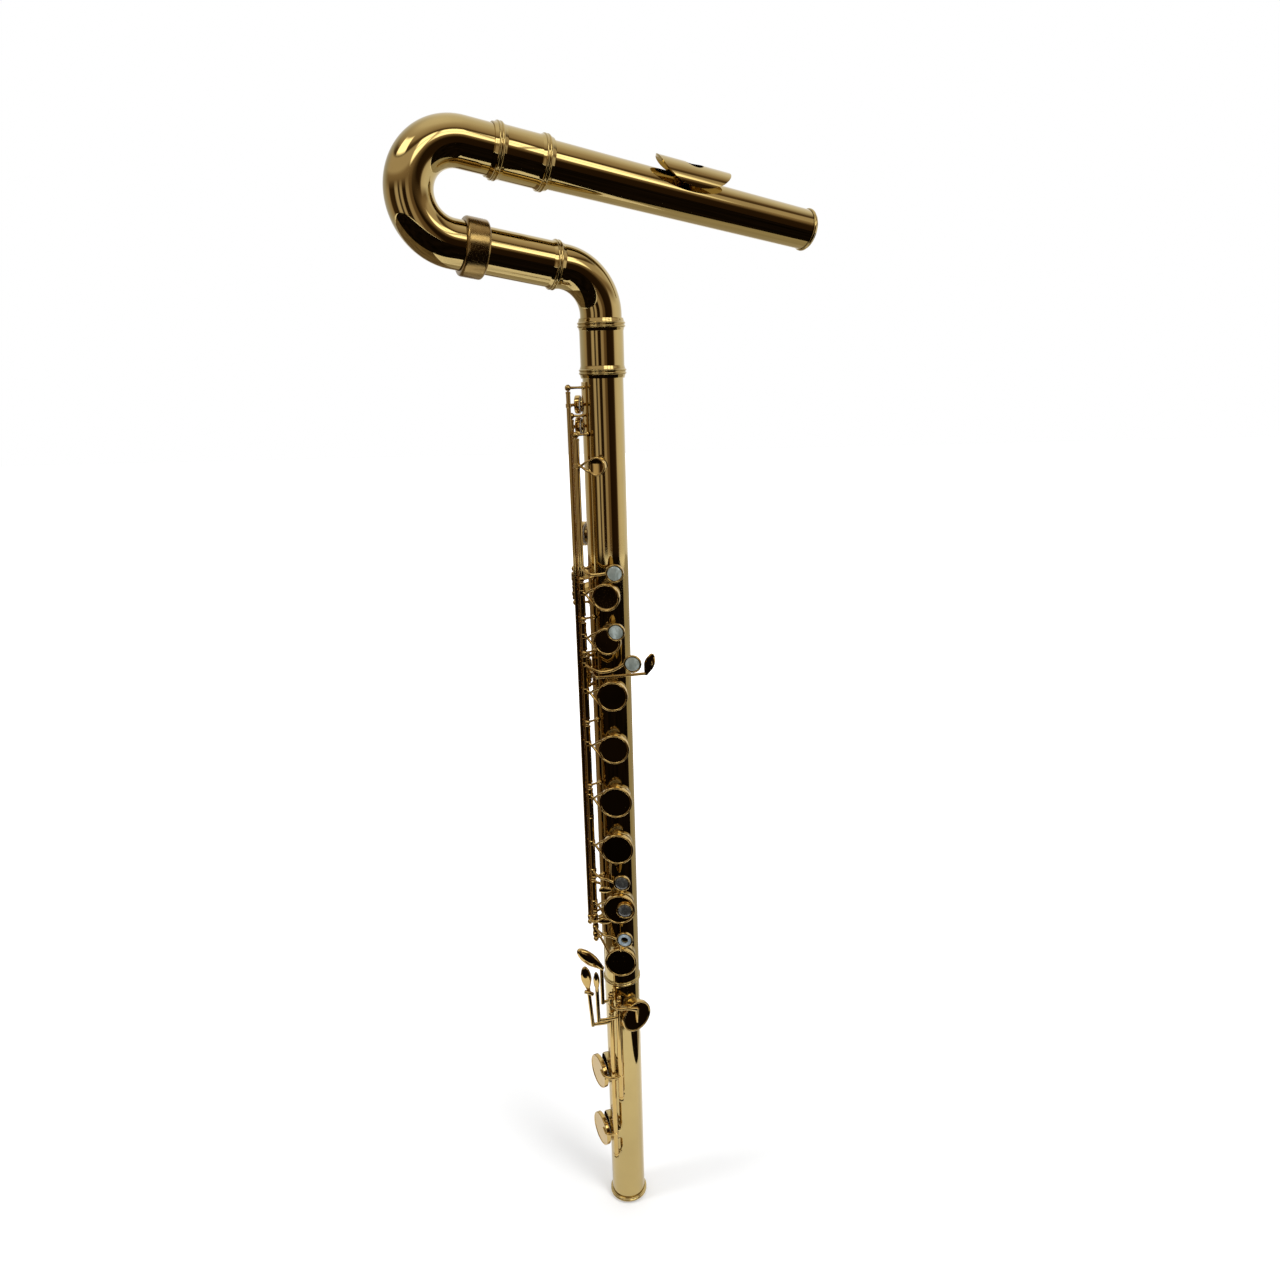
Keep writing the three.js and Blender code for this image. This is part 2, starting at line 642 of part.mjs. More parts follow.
// An oval prism along X at the embouchure, `extra` wider than the hole all round.
function embouchureOval(extra, low, high) {
  const oval = Array.from({ length: CUP_SIDES }, (_, i) => {
    const angle = (i / CUP_SIDES) * 2 * Math.PI;
    const across = (EMBOUCHURE_WIDTH / 2 + extra) * Math.sin(angle);
    return [across, (EMBOUCHURE_LENGTH / 2 + extra) * Math.cos(angle)];
  });
  const prism = moved(slab(oval, high - low), 0, 0, low);
  const frame = new THREE.Matrix4().makeBasis(
    new THREE.Vector3(0, 1, 0), new THREE.Vector3(0, 0, 1), new THREE.Vector3(1, 0, 0),
  ).setPosition(0, 0, EMBOUCHURE_AT);
  return prism.transform(frame.elements);
}

function headTube() {
  const [low, high] = [headTubeR(HEAD_TUBE_START), headTubeR(HEAD_TUBE_END)];
  const tube = revolve([
    [low - TUBE_WALL, HEAD_TUBE_START], [low, HEAD_TUBE_START],
    [high, HEAD_TUBE_END], [high - TUBE_WALL, HEAD_TUBE_END],
  ], TUBE_SIDES);
  return cut(tube, embouchureOval(RISER_WALL / 2, 0, TUBE_OD));
}

const lipPlateLevel = () => headTubeR(EMBOUCHURE_AT) + LIP_PLATE_RISE;

// The lip plate: a saddle curled over the tube, with rounded ends.
function lipPlate() {
  const inner = LIP_PLATE_UNDER_R;
  const lift = lipPlateLevel() - inner;
  const half = LIP_PLATE_LENGTH / 2;
  const curl = pipe(inner + LIP_PLATE_THICKNESS, inner, -half, half, LIP_SIDES);
  const shell = moved(curl, lift, 0, EMBOUCHURE_AT);
  const oval = Array.from({ length: TUBE_SIDES }, (_, i) => {
    const angle = (i / TUBE_SIDES) * 2 * Math.PI;
    const [c, s] = [Math.cos(angle), Math.sin(angle)];
    const round = LIP_ROUND_SHARE;
    const across = Math.sign(s) * Math.abs(s) ** round * (LIP_PLATE_WIDTH / 2);
    return [across, Math.sign(c) * Math.abs(c) ** round * half];
  });
  const frame = new THREE.Matrix4().makeBasis(
    new THREE.Vector3(0, 1, 0), new THREE.Vector3(0, 0, 1), new THREE.Vector3(1, 0, 0),
  ).setPosition(lift, 0, EMBOUCHURE_AT);
  const outline = slab(oval, inner + CUT_OVERRUN * 2).transform(frame.elements);
  const hole = embouchureOval(0, 0, TUBE_OD);
  return cut(shell.intersect(outline), hole);
}

// The riser stands between the tube and the plate and lines the hole.
function riser() {
  const level = lipPlateLevel();
  const block = embouchureOval(RISER_WALL, 0, level + CUT_OVERRUN);
  const span = LIP_PLATE_LENGTH / 2;
  const clear = headTubeR(EMBOUCHURE_AT - span) + FIT_GAP;
  const tube = moved(pipe(clear, 0, -span, span, LIP_SIDES), 0, 0, EMBOUCHURE_AT);
  const curl = pipe(LIP_PLATE_UNDER_R - FIT_GAP, 0, -span, span, LIP_SIDES);
  const shell = moved(curl, level - LIP_PLATE_UNDER_R, 0, EMBOUCHURE_AT);
  return cut(block.intersect(shell), tube, embouchureOval(0, 0, level + CUT_OVERRUN * 2));
}

// The crown's plug enters the tube, its bead caps the end.
function crown() {
  const tube = headTubeR(HEAD_TUBE_END);
  const plug = tube - TUBE_WALL - FIT_GAP;
  const face = HEAD_TUBE_END + FIT_GAP;
  const cap = tube + CROWN_RISE;
  const top = face + CROWN_LENGTH;
  const screwHole = CORK_SCREW_R + FIT_GAP;
  const low = face - CROWN_PLUG;
  return revolve([
    [screwHole, low], [plug, low], [plug, face], [cap, face], [cap, top - CROWN_RISE * 2],
    [tube - CROWN_RISE, top], [0, top], [0, low + CORK_SCREW_GRIP], [screwHole, low + CORK_SCREW_GRIP],
  ], TUBE_SIDES);
}

const corkFace = () => EMBOUCHURE_AT + CORK_AT;

function corkStopper() {
  const r = headTubeR(corkFace() + CORK_LENGTH) - TUBE_WALL - FIT_GAP;
  const hole = CORK_SCREW_R + FIT_GAP;
  const back = corkFace() + CORK_LENGTH;
  return revolve([
    [0, corkFace()], [r, corkFace()], [r, back],
    [hole, back], [hole, back - CORK_SCREW_GRIP], [0, back - CORK_SCREW_GRIP],
  ], CUP_SIDES);
}

function corkScrew() {
  const low = corkFace() + CORK_LENGTH - CORK_SCREW_GRIP + CORK_PLAY;
  const high = HEAD_TUBE_END + FIT_GAP - CROWN_PLUG + CORK_SCREW_GRIP - FIT_GAP;
  return pipe(CORK_SCREW_R, 0, low, high, ROD_SIDES);
}

// A hinge line: where it stands across the tube.
function line(face, lift, hingeR = HINGE_R, steelR = STEEL_R) {
  return { face, at: facing(face).multiplyScalar(TUBE_R + lift), hingeR, steelR };
}

const LINES = {
  main: line(MAIN_LINE_FACE, MAIN_LINE_LIFT),
  trill: line(TRILL_LINE_FACE, TRILL_LINE_LIFT, TRILL_HINGE_R, TRILL_STEEL_R),
  secondTrill: line(SECOND_TRILL_FACE, SECOND_TRILL_LIFT, TRILL_HINGE_R, TRILL_STEEL_R),
  thumb: line(THUMB_LINE_FACE, THUMB_LINE_LIFT),
  gSharp: line(G_SHARP_LINE_FACE, G_SHARP_LINE_LIFT),
  lowC: line(LOW_C_LINE_FACE, LOW_C_LINE_LIFT),
  lowCSharp: line(LOW_C_SHARP_LINE_FACE, LOW_C_SHARP_LINE_LIFT),
};

// A steel between two posts, ending inside their balls.
function steel(on, low, high) {
  return moved(pipe(on.steelR, 0, low + FIT_GAP / 2, high - FIT_GAP / 2, BORE_SIDES), on.at.x, on.at.y, 0);
}

const overBall = (z) => z + BALL_R + FIT_GAP;
const underBall = (z) => z - BALL_R - FIT_GAP;

// A post: a foot, a stem and a ball bored for the steel.
function post(on, z, start = TUBE_R + FIT_GAP + RIB_THICKNESS / 2) {
  const axis = facing(on.face);
  const reach = on.at.length();
  const at = new THREE.Vector3(0, 0, z);
  const bore = on.steelR + FIT_GAP;
  const top = reach - (bore + BALL_R) / 2;
  const flare = [[0, start], [POST_FOOT_R, start], [POST_R, start + POST_FOOT_HEIGHT]];
  const stem = revolve([...flare, [POST_R, top], [0, top]], ROD_SIDES);
  const ball = revolve(BALL_SHARE.map(([wide, high]) =>
    [bore + wide * (BALL_R - bore), high * BALL_R]), SMALL_SIDES);
  return join(placed(stem, at, axis), moved(ball, on.at.x, on.at.y, z));
}

// A rib: a strap bent to the tube, soldered on to carry posts.
function rib(face, low, high) {
  const inner = TUBE_R + FIT_GAP;
  const ring = pipe(inner + RIB_THICKNESS, inner, low, high, TUBE_SIDES * 2);
  const axis = facing(face);
  const height = high - low;
  const box = solid(new THREE.BoxGeometry(RIB_WIDTH, height, TUBE_OD));
  const at = axis.clone().multiplyScalar(TUBE_R).setZ((low + high) / 2);
  return ring.intersect(placedUpright(box, at, axis));
}

// Like placed, but the solid's own Y stays along the tube.
function placedUpright(body, at, axis) {
  const up = new THREE.Vector3(0, 0, 1);
  const side = new THREE.Vector3().crossVectors(up, axis);
  const frame = new THREE.Matrix4().makeBasis(side, up, axis).setPosition(at);
  return body.transform(frame.elements);
}

// Posts on one rib.
function postedRib(face, low, high, posts) {
  return join(rib(face, low, high), posts.map(([on, z]) => post(on, z)));
}

const cupBottom = (at) => rimRadius(at) + FIT_GAP + PAD_PROUD;

// A key cup over its tone hole, open below for its pad.
function cup(at, padded = true) {
  const low = cupBottom(at);
  const top = low + CUP_HEIGHT;
  const inner = at.cupR - CUP_WALL;
  const ceiling = low - PAD_PROUD + PAD_THICKNESS + FIT_GAP;
  const under = padded ? [[0, ceiling], [inner, ceiling], [inner, low]]
    : [[0, low - PAD_PROUD], [inner, low - PAD_PROUD], [inner, low]];
  const profile = [
    ...under, [at.cupR, low], [at.cupR, top - CUP_DISH], [at.cupR - CUP_BEAD / 2, top],
    [at.cupR - CUP_BEAD, top - CUP_DISH], [0, top - CUP_DISH],
  ];
  return placed(revolve(profile, CUP_SIDES), new THREE.Vector3(0, 0, at.z), facing(at.face));
}

// The pad in a cup, or a ring of the same for a hollow pearl.
function pad(at) {
  const low = rimRadius(at) + FIT_GAP;
  const disc = pipe(at.cupR - CUP_WALL - FIT_GAP, 0, low, low + PAD_THICKNESS, CUP_SIDES);
  return placed(disc, new THREE.Vector3(0, 0, at.z), facing(at.face));
}

// A point on a cup's rim: `turn` degrees round from the side that faces the rods.
function rimPoint(at, turn, inset, level) {
  const radius = at.cupR - inset;
  const x = -radius * Math.cos(rad(turn));
  return across(at.face, x, cupBottom(at) + level, at.z + radius * Math.sin(rad(turn)));
}

// A forked arm from a hinge line to a cup.
function forkedArm(on, at, drop = 0) {
  const root = on.at.clone().addScaledVector(facing(at.face), on.hingeR / 2).setZ(at.z + drop);
  const near = rimPoint(at, 0, 0, ARM_LEVEL);
  const fork = root.clone().lerp(near, FORK_SHARE);
  const stem = limb([
    [root.x, root.y, root.z, ARM_WIDTH, ARM_THICKNESS],
    [fork.x, fork.y, fork.z, ARM_WIDTH, ARM_THICKNESS],
  ]);
  const prongs = FORK_TURNS.map((turn) => {
    const end = rimPoint(at, turn, MERGE, ARM_LEVEL);
    return limb([
      [fork.x, fork.y, fork.z, ARM_WIDTH * PRONG_SHARE, ARM_THICKNESS],
      [end.x, end.y, end.z, ARM_WIDTH * PRONG_SHARE, ARM_THICKNESS],
    ]);
  });
  return join(stem, prongs);
}

const touchPlane = () => TUBE_R + TOUCH_PLANE_LIFT;

// A place `x` across and `level` out from the tube's axis, on the side that `face` gives.
function across(face, x, level, z) {
  const side = new THREE.Vector3(Math.cos(rad(face)), -Math.sin(rad(face)), 0);
  return facing(face).multiplyScalar(level).addScaledVector(side, x).setZ(z);
}

// A round finger touch with a seat for its pearl, its underside at `level` from the axis.
function touch(x, z, level, face = 0) {
  const inner = TOUCH_R - TOUCH_WALL;
  const body = revolve([
    [0, 0], [TOUCH_R, 0], [TOUCH_R, TOUCH_HEIGHT], [inner, TOUCH_HEIGHT],
    [inner, TOUCH_FLOOR], [0, TOUCH_FLOOR],
  ], CUP_SIDES);
  return placed(body, across(face, x, level, z), facing(face));
}

// A pearl in its touch, slightly domed, or bored through when `bore` is over zero.
function pearl(x, z, level, face = 0, bore = 0) {
  const r = TOUCH_R - TOUCH_WALL - FIT_GAP;
  const low = TOUCH_FLOOR + FIT_GAP;
  const top = TOUCH_HEIGHT + PEARL_RISE;
  const mid = (bore + r) / 2;
  const crownLine = bore > 0 ? [[mid, top], [bore, TOUCH_HEIGHT]] : [[r / 2, top - PEARL_RISE / 4], [0, top]];
  const body = revolve([[bore, low], [r, low], [r, TOUCH_HEIGHT], ...crownLine], CUP_SIDES);
  return placed(body, across(face, x, level, z), facing(face));
}

// An arched arm from a hinge line to a touch, dipping `dip` along the tube on its way.
function touchArm(on, rootZ, x, z, dip) {
  const end = new THREE.Vector3(x - TOUCH_R + MERGE, -touchPlane() - TOUCH_HEIGHT / 2, z);
  const root = on.at.clone().add(new THREE.Vector3(0, -on.hingeR / 2, 0));
  const rise = end.y - root.y;
  const stations = TOUCH_ARM_SHARE.map(([run, lift, slope]) => [
    root.x + run * (end.x - root.x),
    root.y + lift * rise,
    rootZ + slope * (z - rootZ) - dip * Math.sin(run * Math.PI),
    TOUCH_ARM_WIDTH,
    ARM_THICKNESS,
  ]);
  return limb(stations);
}

// A straight or bent lever through stations given from a hinge line outwards.
function lever(on, root, ...stations) {
  const start = on.at.clone().add(new THREE.Vector3(root[0], root[1], root[2]));
  return limb([[start.x, start.y, start.z, ARM_WIDTH, ARM_THICKNESS], ...stations]);
}

// Everything of a key that would fill its hinge's bore is cleared again.
function onHinge(on, low, high, ...limbs) {
  const tube = pipe(on.hingeR, 0, low, high, SMALL_SIDES);
  const bore = pipe(on.steelR + FIT_GAP, 0, low - TUBE_OD, high + TUBE_OD, BORE_SIDES);
  const placedTube = moved(tube, on.at.x, on.at.y, 0);
  return cut(join(placedTube, limbs), moved(bore, on.at.x, on.at.y, 0));
}

// A trill key: a small cup at the top of a long tube, its touch far below.
function trillKey(on, at, high, touchZ, path) {
  const top = rimPoint(at, HALF_TURN, at.cupR, CUP_HEIGHT);
  const arm = lever(on, [0, 0, at.z], [top.x, top.y, at.z, ARM_WIDTH, ARM_THICKNESS]);
  const [x, y] = [on.at.x + TRILL_TOUCH_REACH, -touchLevel()];
  const half = TRILL_TOUCH_LENGTH / 2;
  const paddle = limb(PADDLE_SHARE.map(([run, wide]) => [
    x + run * half, y, touchZ, wide * TRILL_TOUCH_WIDTH, ARM_THICKNESS,
  ]));
  const knees = path.map(([px, py]) => [px, py, touchZ, ARM_WIDTH, ARM_THICKNESS]);
  const reach = lever(on, [0, 0, touchZ], ...knees);
  const low = TRILL_LOW_POST_Z;
  return onHinge(on, overBall(low), underBall(high), cup(at, false), arm, paddle, reach);
}

const touchLevel = () => TUBE_R + TRILL_TOUCH_LIFT;

function trillDSharpKey() {
  const on = LINES.trill;
  const end = on.at.x + TRILL_TOUCH_REACH - TRILL_TOUCH_LENGTH / 2 + MERGE;
  const path = [[on.at.x + HINGE_R, -touchLevel()], [end, -touchLevel()]];
  return trillKey(on, HOLES.trillDSharp, TRILL_TOP_POST_Z, TRILL_D_SHARP_TOUCH_Z, path);
}

// The second trill key's arm comes up between the main line and the tube.
function trillDKey() {
  const on = LINES.secondTrill;
  const main = LINES.main.at;
  const clear = HINGE_R + ARM_THICKNESS * 2;
  const path = [
    [main.x + clear / 2, main.y + clear],
    [main.x + clear, main.y + clear / 2],
    [main.x + clear, -touchLevel()],
  ];
  return trillKey(on, HOLES.trillD, SECOND_TRILL_TOP_POST_Z, TRILL_D_TOUCH_Z, path);
}

function cKey() {
  const on = LINES.main;
  const arm = touchArm(on, LH_FIRST_ROOT_Z, LH_FIRST_TOUCH_X, LH_FIRST_TOUCH_Z, LH_FIRST_DIP);
  return onHinge(
    on, overBall(BODY_MIDDLE_POST_Z), underBall(MAIN_TOP_POST_Z),
    cup(HOLES.c, false), forkedArm(on, HOLES.c), arm,
    touch(LH_FIRST_TOUCH_X, LH_FIRST_TOUCH_Z, touchPlane()),
  );
}

// A key with one padded cup between two heights of the main line.
function cupKey(at, low, high, drop, ...more) {
  const on = LINES.main;
  return onHinge(on, low, high, cup(at, at.padded), forkedArm(on, at, drop), ...more);
}

const bFlatKey = () => cupKey(HOLES.bFlat, overBall(A_TOP_POST_Z), underBall(BODY_MIDDLE_POST_Z), ARM_DROP);

// Where a touch sits when it is soldered on a cup's face.
const onCup = (at, x, z) => [x, z, cupBottom(at) + CUP_HEIGHT - CUP_DISH - MERGE, at.face];

function aKey() {
  const pearlSeat = touch(...onCup(HOLES.a, LH_SECOND_PEARL_X, LH_SECOND_PEARL_Z));
  return cupKey(HOLES.a, overBall(G_TOP_POST_Z), underBall(A_TOP_POST_Z), ARM_DROP, pearlSeat);
}

function upperGKey() {
  const on = LINES.main;
  return cupKey(
    HOLES.upperG, overBall(G_MIDDLE_POST_Z), underBall(G_TOP_POST_Z), ARM_DROP,
    touchArm(on, LH_THIRD_ROOT_Z, LH_THIRD_TOUCH_X, LH_THIRD_TOUCH_Z, LH_THIRD_DIP),
    touch(LH_THIRD_TOUCH_X, LH_THIRD_TOUCH_Z, touchPlane()),
  );
}

const lowerGKey = () => cupKey(HOLES.lowerG, overBall(RIGHT_HAND_POST_Z), underBall(G_MIDDLE_POST_Z), ARM_DROP);

// The G sharp key: a lever across the front with a leaf for the little finger.
function gSharpKey() {
  const on = LINES.gSharp;
  const at = HOLES.gSharp;
  const near = rimPoint(at, HALF_TURN, MERGE, ARM_LEVEL);
  const arm = lever(on, [0, 0, at.z], [near.x, near.y, at.z, ARM_WIDTH, ARM_THICKNESS]);
  const front = -TUBE_R - G_SHARP_BAR_LIFT;
  const clear = HINGE_R + ARM_THICKNESS * 2;
  const side = LINES.main.at.x + clear;
  const bar = lever(
    on, [0, 0, G_SHARP_BAR_Z],
    [side, LINES.main.at.y + clear / 2, G_SHARP_BAR_Z, ARM_WIDTH, ARM_THICKNESS],
    [side + ARM_THICKNESS, front + ARM_THICKNESS, G_SHARP_BAR_Z, ARM_WIDTH, ARM_THICKNESS],
    [side + ARM_THICKNESS * 4, front, G_SHARP_BAR_Z, ARM_WIDTH, ARM_THICKNESS],
    [G_SHARP_LEAF_X, front, G_SHARP_BAR_Z + ARM_WIDTH, ARM_WIDTH, ARM_THICKNESS],
  );
  const leaf = leafAlong(
    [G_SHARP_LEAF_X - ARM_WIDTH / 2, front, G_SHARP_BAR_Z + ARM_WIDTH / 2],
    [G_SHARP_LEAF_X + G_SHARP_LEAF_LEAN, front, G_SHARP_BAR_Z + G_SHARP_LEAF_LENGTH],
    G_SHARP_LEAF_WIDTH,
  );
  const [low, high] = [overBall(G_SHARP_LOW_POST_Z), underBall(G_SHARP_TOP_POST_Z)];
  return onHinge(on, low, high, cup(at, false), arm, bar, leaf);
}

// A leaf-shaped touch from one end to the other, `width` across its belly.
function leafAlong(from, to, width) {
  return limb(LEAF_SHARE.map(([t, wide, lift]) => [
    from[0] + t * (to[0] - from[0]),
    from[1] + t * (to[1] - from[1]) - lift * LEAF_THICKNESS,
    from[2] + t * (to[2] - from[2]),
    wide * width,
    LEAF_THICKNESS,
  ]));
}

const thumbSplitZ = () => (THUMB_TOP_POST_Z + THUMB_LOW_POST_Z) / 2;

// A thumb touch on the player's side of the tube.
function thumbTouch(on, z) {
  const mid = facing(THUMB_TOUCH_FACE).multiplyScalar(TUBE_R + THUMB_TOUCH_LIFT);
  const kneeLift = THUMB_TOUCH_LIFT * THUMB_KNEE_SHARE;
  const knee = facing((on.face + THUMB_TOUCH_FACE) / 2).multiplyScalar(TUBE_R + kneeLift);
  const end = facing(THUMB_TOUCH_FACE + THUMB_TOUCH_SPAN).multiplyScalar(TUBE_R + THUMB_TOUCH_LIFT);
  const wide = THUMB_TOUCH_WIDTH;
  return lever(
    on, [0, 0, z],
    [knee.x, knee.y, z, ARM_WIDTH, ARM_THICKNESS],
    [mid.x, mid.y, z, wide, ARM_THICKNESS],
    [end.x, end.y, z, wide * PRONG_SHARE, ARM_THICKNESS],
  );
}

function thumbBKey() {
  const on = LINES.thumb;
  const at = HOLES.thumbB;
  const [low, high] = [thumbSplitZ() + FIT_GAP, underBall(THUMB_TOP_POST_Z)];
  const top = rimPoint(at, HALF_TURN, at.cupR, CUP_HEIGHT - CUP_DISH);
  const knee = facing((on.face + at.face) / 2).multiplyScalar(TUBE_R + THUMB_ARM_LIFT);
  const rise = [knee.x, knee.y, THUMB_TOP_POST_Z + BALL_R, ARM_WIDTH, ARM_THICKNESS];
  const end = [top.x, top.y, at.z, ARM_WIDTH, ARM_THICKNESS];
  const arm = lever(on, [0, HINGE_R / 2, high - ARM_WIDTH], rise, end);
  return onHinge(on, low, high, cup(at, false), arm, thumbTouch(on, (low + high) / 2));
}

function thumbBFlatKey() {
  const on = LINES.thumb;
  const [low, high] = [overBall(THUMB_LOW_POST_Z), thumbSplitZ()];
  return onHinge(on, low, high, thumbTouch(on, (low + high) / 2 - THUMB_TOUCH_DROP));
}

const splitZ = () => (F_SHARP_Z + F_Z) / 2 + RIGHT_HAND_CUP_R / 3;

const fSharpKey = () => cupKey(HOLES.fSharp, splitZ() + FIT_GAP, underBall(RIGHT_HAND_POST_Z), ARM_DROP);

function fKey() {
  const on = LINES.main;
  const low = rimPoint(HOLES.f, RH_LINK_TURN, MERGE * 2, ARM_LEVEL);
  const link = limb([
    [low.x, low.y, low.z, ARM_WIDTH, ARM_THICKNESS],
    [low.x, -touchPlane(), (low.z + RH_FIRST_TOUCH_Z) / 2, ARM_WIDTH, ARM_THICKNESS],
    [low.x, -touchPlane() - TOUCH_HEIGHT / 2, RH_FIRST_TOUCH_Z, ARM_WIDTH, ARM_THICKNESS],
  ]);
  return cupKey(
    HOLES.f, overBall(E_TOP_POST_Z), splitZ(), ARM_DROP, link,
    touchArm(on, RH_FIRST_ROOT_Z, RH_FIRST_TOUCH_X, RH_FIRST_TOUCH_Z, RH_DIP),
    touch(RH_FIRST_TOUCH_X, RH_FIRST_TOUCH_Z, touchPlane()),
  );
}

function eKey() {
  const pearlSeat = touch(...onCup(HOLES.e, RH_SECOND_PEARL_X, E_Z));
  return cupKey(HOLES.e, overBall(D_TOP_POST_Z), underBall(E_TOP_POST_Z), ARM_DROP, pearlSeat);
}

// The D key hangs from a tube above its cup: one limb beside it, one from its touch.
function dKey() {
  const on = LINES.main;
  const low = overBall(MAIN_LOW_POST_Z);
  const side = rimPoint(HOLES.d, D_SIDE_TURN, MERGE * 2, ARM_LEVEL);
  const beside = lever(
    on, [HINGE_R / 2, -HINGE_R / 2, low + ARM_WIDTH],
    [on.at.x + HINGE_R * 2, on.at.y - HINGE_R, low, ARM_WIDTH, ARM_THICKNESS],
    [side.x, side.y, side.z, ARM_WIDTH, ARM_THICKNESS],
  );
  const top = rimPoint(HOLES.d, RIGHT_ANGLE, MERGE * 2, ARM_LEVEL);
  const link = limb([
    [top.x, top.y, top.z, ARM_WIDTH * 2, ARM_THICKNESS],
    [RH_THIRD_TOUCH_X - TOUCH_R / 2, FIT_GAP - touchPlane(), RH_THIRD_TOUCH_Z, ARM_WIDTH, ARM_THICKNESS],
  ]);
  return onHinge(
    on, low, underBall(D_TOP_POST_Z), cup(HOLES.d, true), beside, link,
    touchArm(on, RH_THIRD_ROOT_Z, RH_THIRD_TOUCH_X, RH_THIRD_TOUCH_Z, RH_DIP),
    touch(RH_THIRD_TOUCH_X, RH_THIRD_TOUCH_Z, touchPlane()),
  );
}

// The D sharp key: an arm over its cup, and a large leaf above the foot.
function dSharpKey() {
  const on = LINES.lowC;
  const at = HOLES.dSharp;
  const over = CUP_HEIGHT - CUP_DISH + ARM_THICKNESS / 4;
  const edge = rimPoint(at, D_SHARP_ARM_TURN, 0, over);
  const crossing = LINES.lowCSharp.at;
  const middle = rimPoint(at, RIGHT_ANGLE, at.cupR / 2, over);
  const tip = rimPoint(at, RIGHT_ANGLE, at.cupR * D_SHARP_TIP_SHARE, over);
  const rootZ = D_SHARP_ARM_Z;
  const arm = lever(
    on, [0, -on.hingeR / 2, rootZ],
    [crossing.x, crossing.y - on.hingeR - ARM_THICKNESS, rootZ, ARM_WIDTH, ARM_THICKNESS],
    [edge.x, edge.y, edge.z, ARM_WIDTH, ARM_THICKNESS],
    [middle.x, middle.y, middle.z, ARM_WIDTH * D_SHARP_ARM_SHARE, ARM_THICKNESS],
  );
  const point = limb([
    [middle.x, middle.y, middle.z + ARM_WIDTH / 2, ARM_WIDTH * D_SHARP_ARM_SHARE, ARM_THICKNESS],
    [tip.x, tip.y, tip.z, ARM_THICKNESS / 2, ARM_THICKNESS / 2],
  ]);
  const level = -TUBE_R - FOOT_LEAF_LIFT;
  const stem = lever(
    on, [0, -on.hingeR / 2, D_SHARP_STEM_Z],
    [D_SHARP_STEM_X, level, D_SHARP_STEM_Z, FOOT_LEVER_WIDTH, ARM_THICKNESS],
  );
  const up = limb([
    [D_SHARP_STEM_X, level, D_SHARP_STEM_Z - FOOT_LEVER_WIDTH / 2, FOOT_LEVER_WIDTH, ARM_THICKNESS],
    [D_SHARP_STEM_X, level, D_SHARP_LEAF_LOW_Z, FOOT_LEVER_WIDTH, ARM_THICKNESS],
  ]);
  const leaf = leafAlong(
    [D_SHARP_STEM_X + ARM_WIDTH / 2, level, D_SHARP_LEAF_LOW_Z - ARM_WIDTH],
    [D_SHARP_LEAF_X, level, D_SHARP_LEAF_HIGH_Z], D_SHARP_LEAF_WIDTH,
  );
  const [low, high] = [overBall(FOOT_UPPER_POST_Z), underBall(FOOT_TOP_POST_Z)];
  return onHinge(on, low, high, cup(at, true), arm, point, stem, up, leaf);
}

// A low key: a long tube, a cup near its lower end and a leaf beside the foot's top.
function lowKey(on, at, low, high, cross, stem, leafTop, width) {
  const level = -TUBE_R - FOOT_LEAF_LIFT - stem.lift;
  const near = rimPoint(at, HALF_TURN - LOW_ARM_TURN, at.cupR / 2, ARM_LEVEL + MERGE);
  const rootZ = near.z;
  const rimTurn = HALF_TURN - Math.asin((rootZ - at.z) / at.cupR) / DEG;
  const rim = rimPoint(at, rimTurn, 0, ARM_LEVEL + MERGE * 2);
  const arm = lever(
    on, [0, -on.hingeR / 2, rootZ],
    ...cross.map(([x, y]) => [x, y, rootZ, ARM_WIDTH, ARM_THICKNESS]),
    [rim.x, rim.y, rootZ, ARM_WIDTH, ARM_THICKNESS],
    [near.x, near.y, near.z, ARM_WIDTH, ARM_THICKNESS],
  );
  const out = lever(
    on, [0, -on.hingeR / 2, stem.z],
    [on.at.x - on.hingeR * 2, level, stem.z, FOOT_LEVER_WIDTH, ARM_THICKNESS],
    [stem.x, level, stem.z, FOOT_LEVER_WIDTH, ARM_THICKNESS],
  );
  const up = limb([
    [stem.x, level, stem.z - FOOT_LEVER_WIDTH / 2, FOOT_LEVER_WIDTH, ARM_THICKNESS],
    [stem.x - stem.lean, level, stem.leafZ, FOOT_LEVER_WIDTH, ARM_THICKNESS],
  ]);
  const leaf = leafAlong(
    [stem.x - stem.lean, level, stem.leafZ - ARM_WIDTH],
    [stem.x - stem.lean * 2, level, leafTop], width,
  );
  return onHinge(on, overBall(low), underBall(high), cup(at, true), arm, out, up, leaf);
}

function lowCSharpKey() {
  const on = LINES.lowCSharp;
  const over = LINES.lowC.at;
  const cross = [[over.x, over.y - HINGE_R - ARM_THICKNESS]];
  const stem = { x: LOW_C_SHARP_STEM_X, z: LOW_C_SHARP_STEM_Z, lean: LOW_C_SHARP_LEAN,
    leafZ: FOOT_LEAF_LOW_Z, lift: ARM_THICKNESS };
  return lowKey(on, HOLES.lowCSharp, LOW_C_SHARP_POST_Z, LOW_C_SHARP_TOP_POST_Z, cross, stem,
    LOW_C_SHARP_LEAF_HIGH_Z, LOW_C_SHARP_LEAF_WIDTH);
}

function lowCKey() {
  const stem = { x: LOW_C_STEM_X, z: LOW_C_STEM_Z, lean: LOW_C_LEAN, leafZ: FOOT_LEAF_LOW_Z, lift: 0 };
  return lowKey(LINES.lowC, HOLES.lowC, LOW_C_POST_Z, FOOT_UPPER_POST_Z, [], stem,
    LOW_C_LEAF_HIGH_Z, LOW_C_LEAF_WIDTH);
}

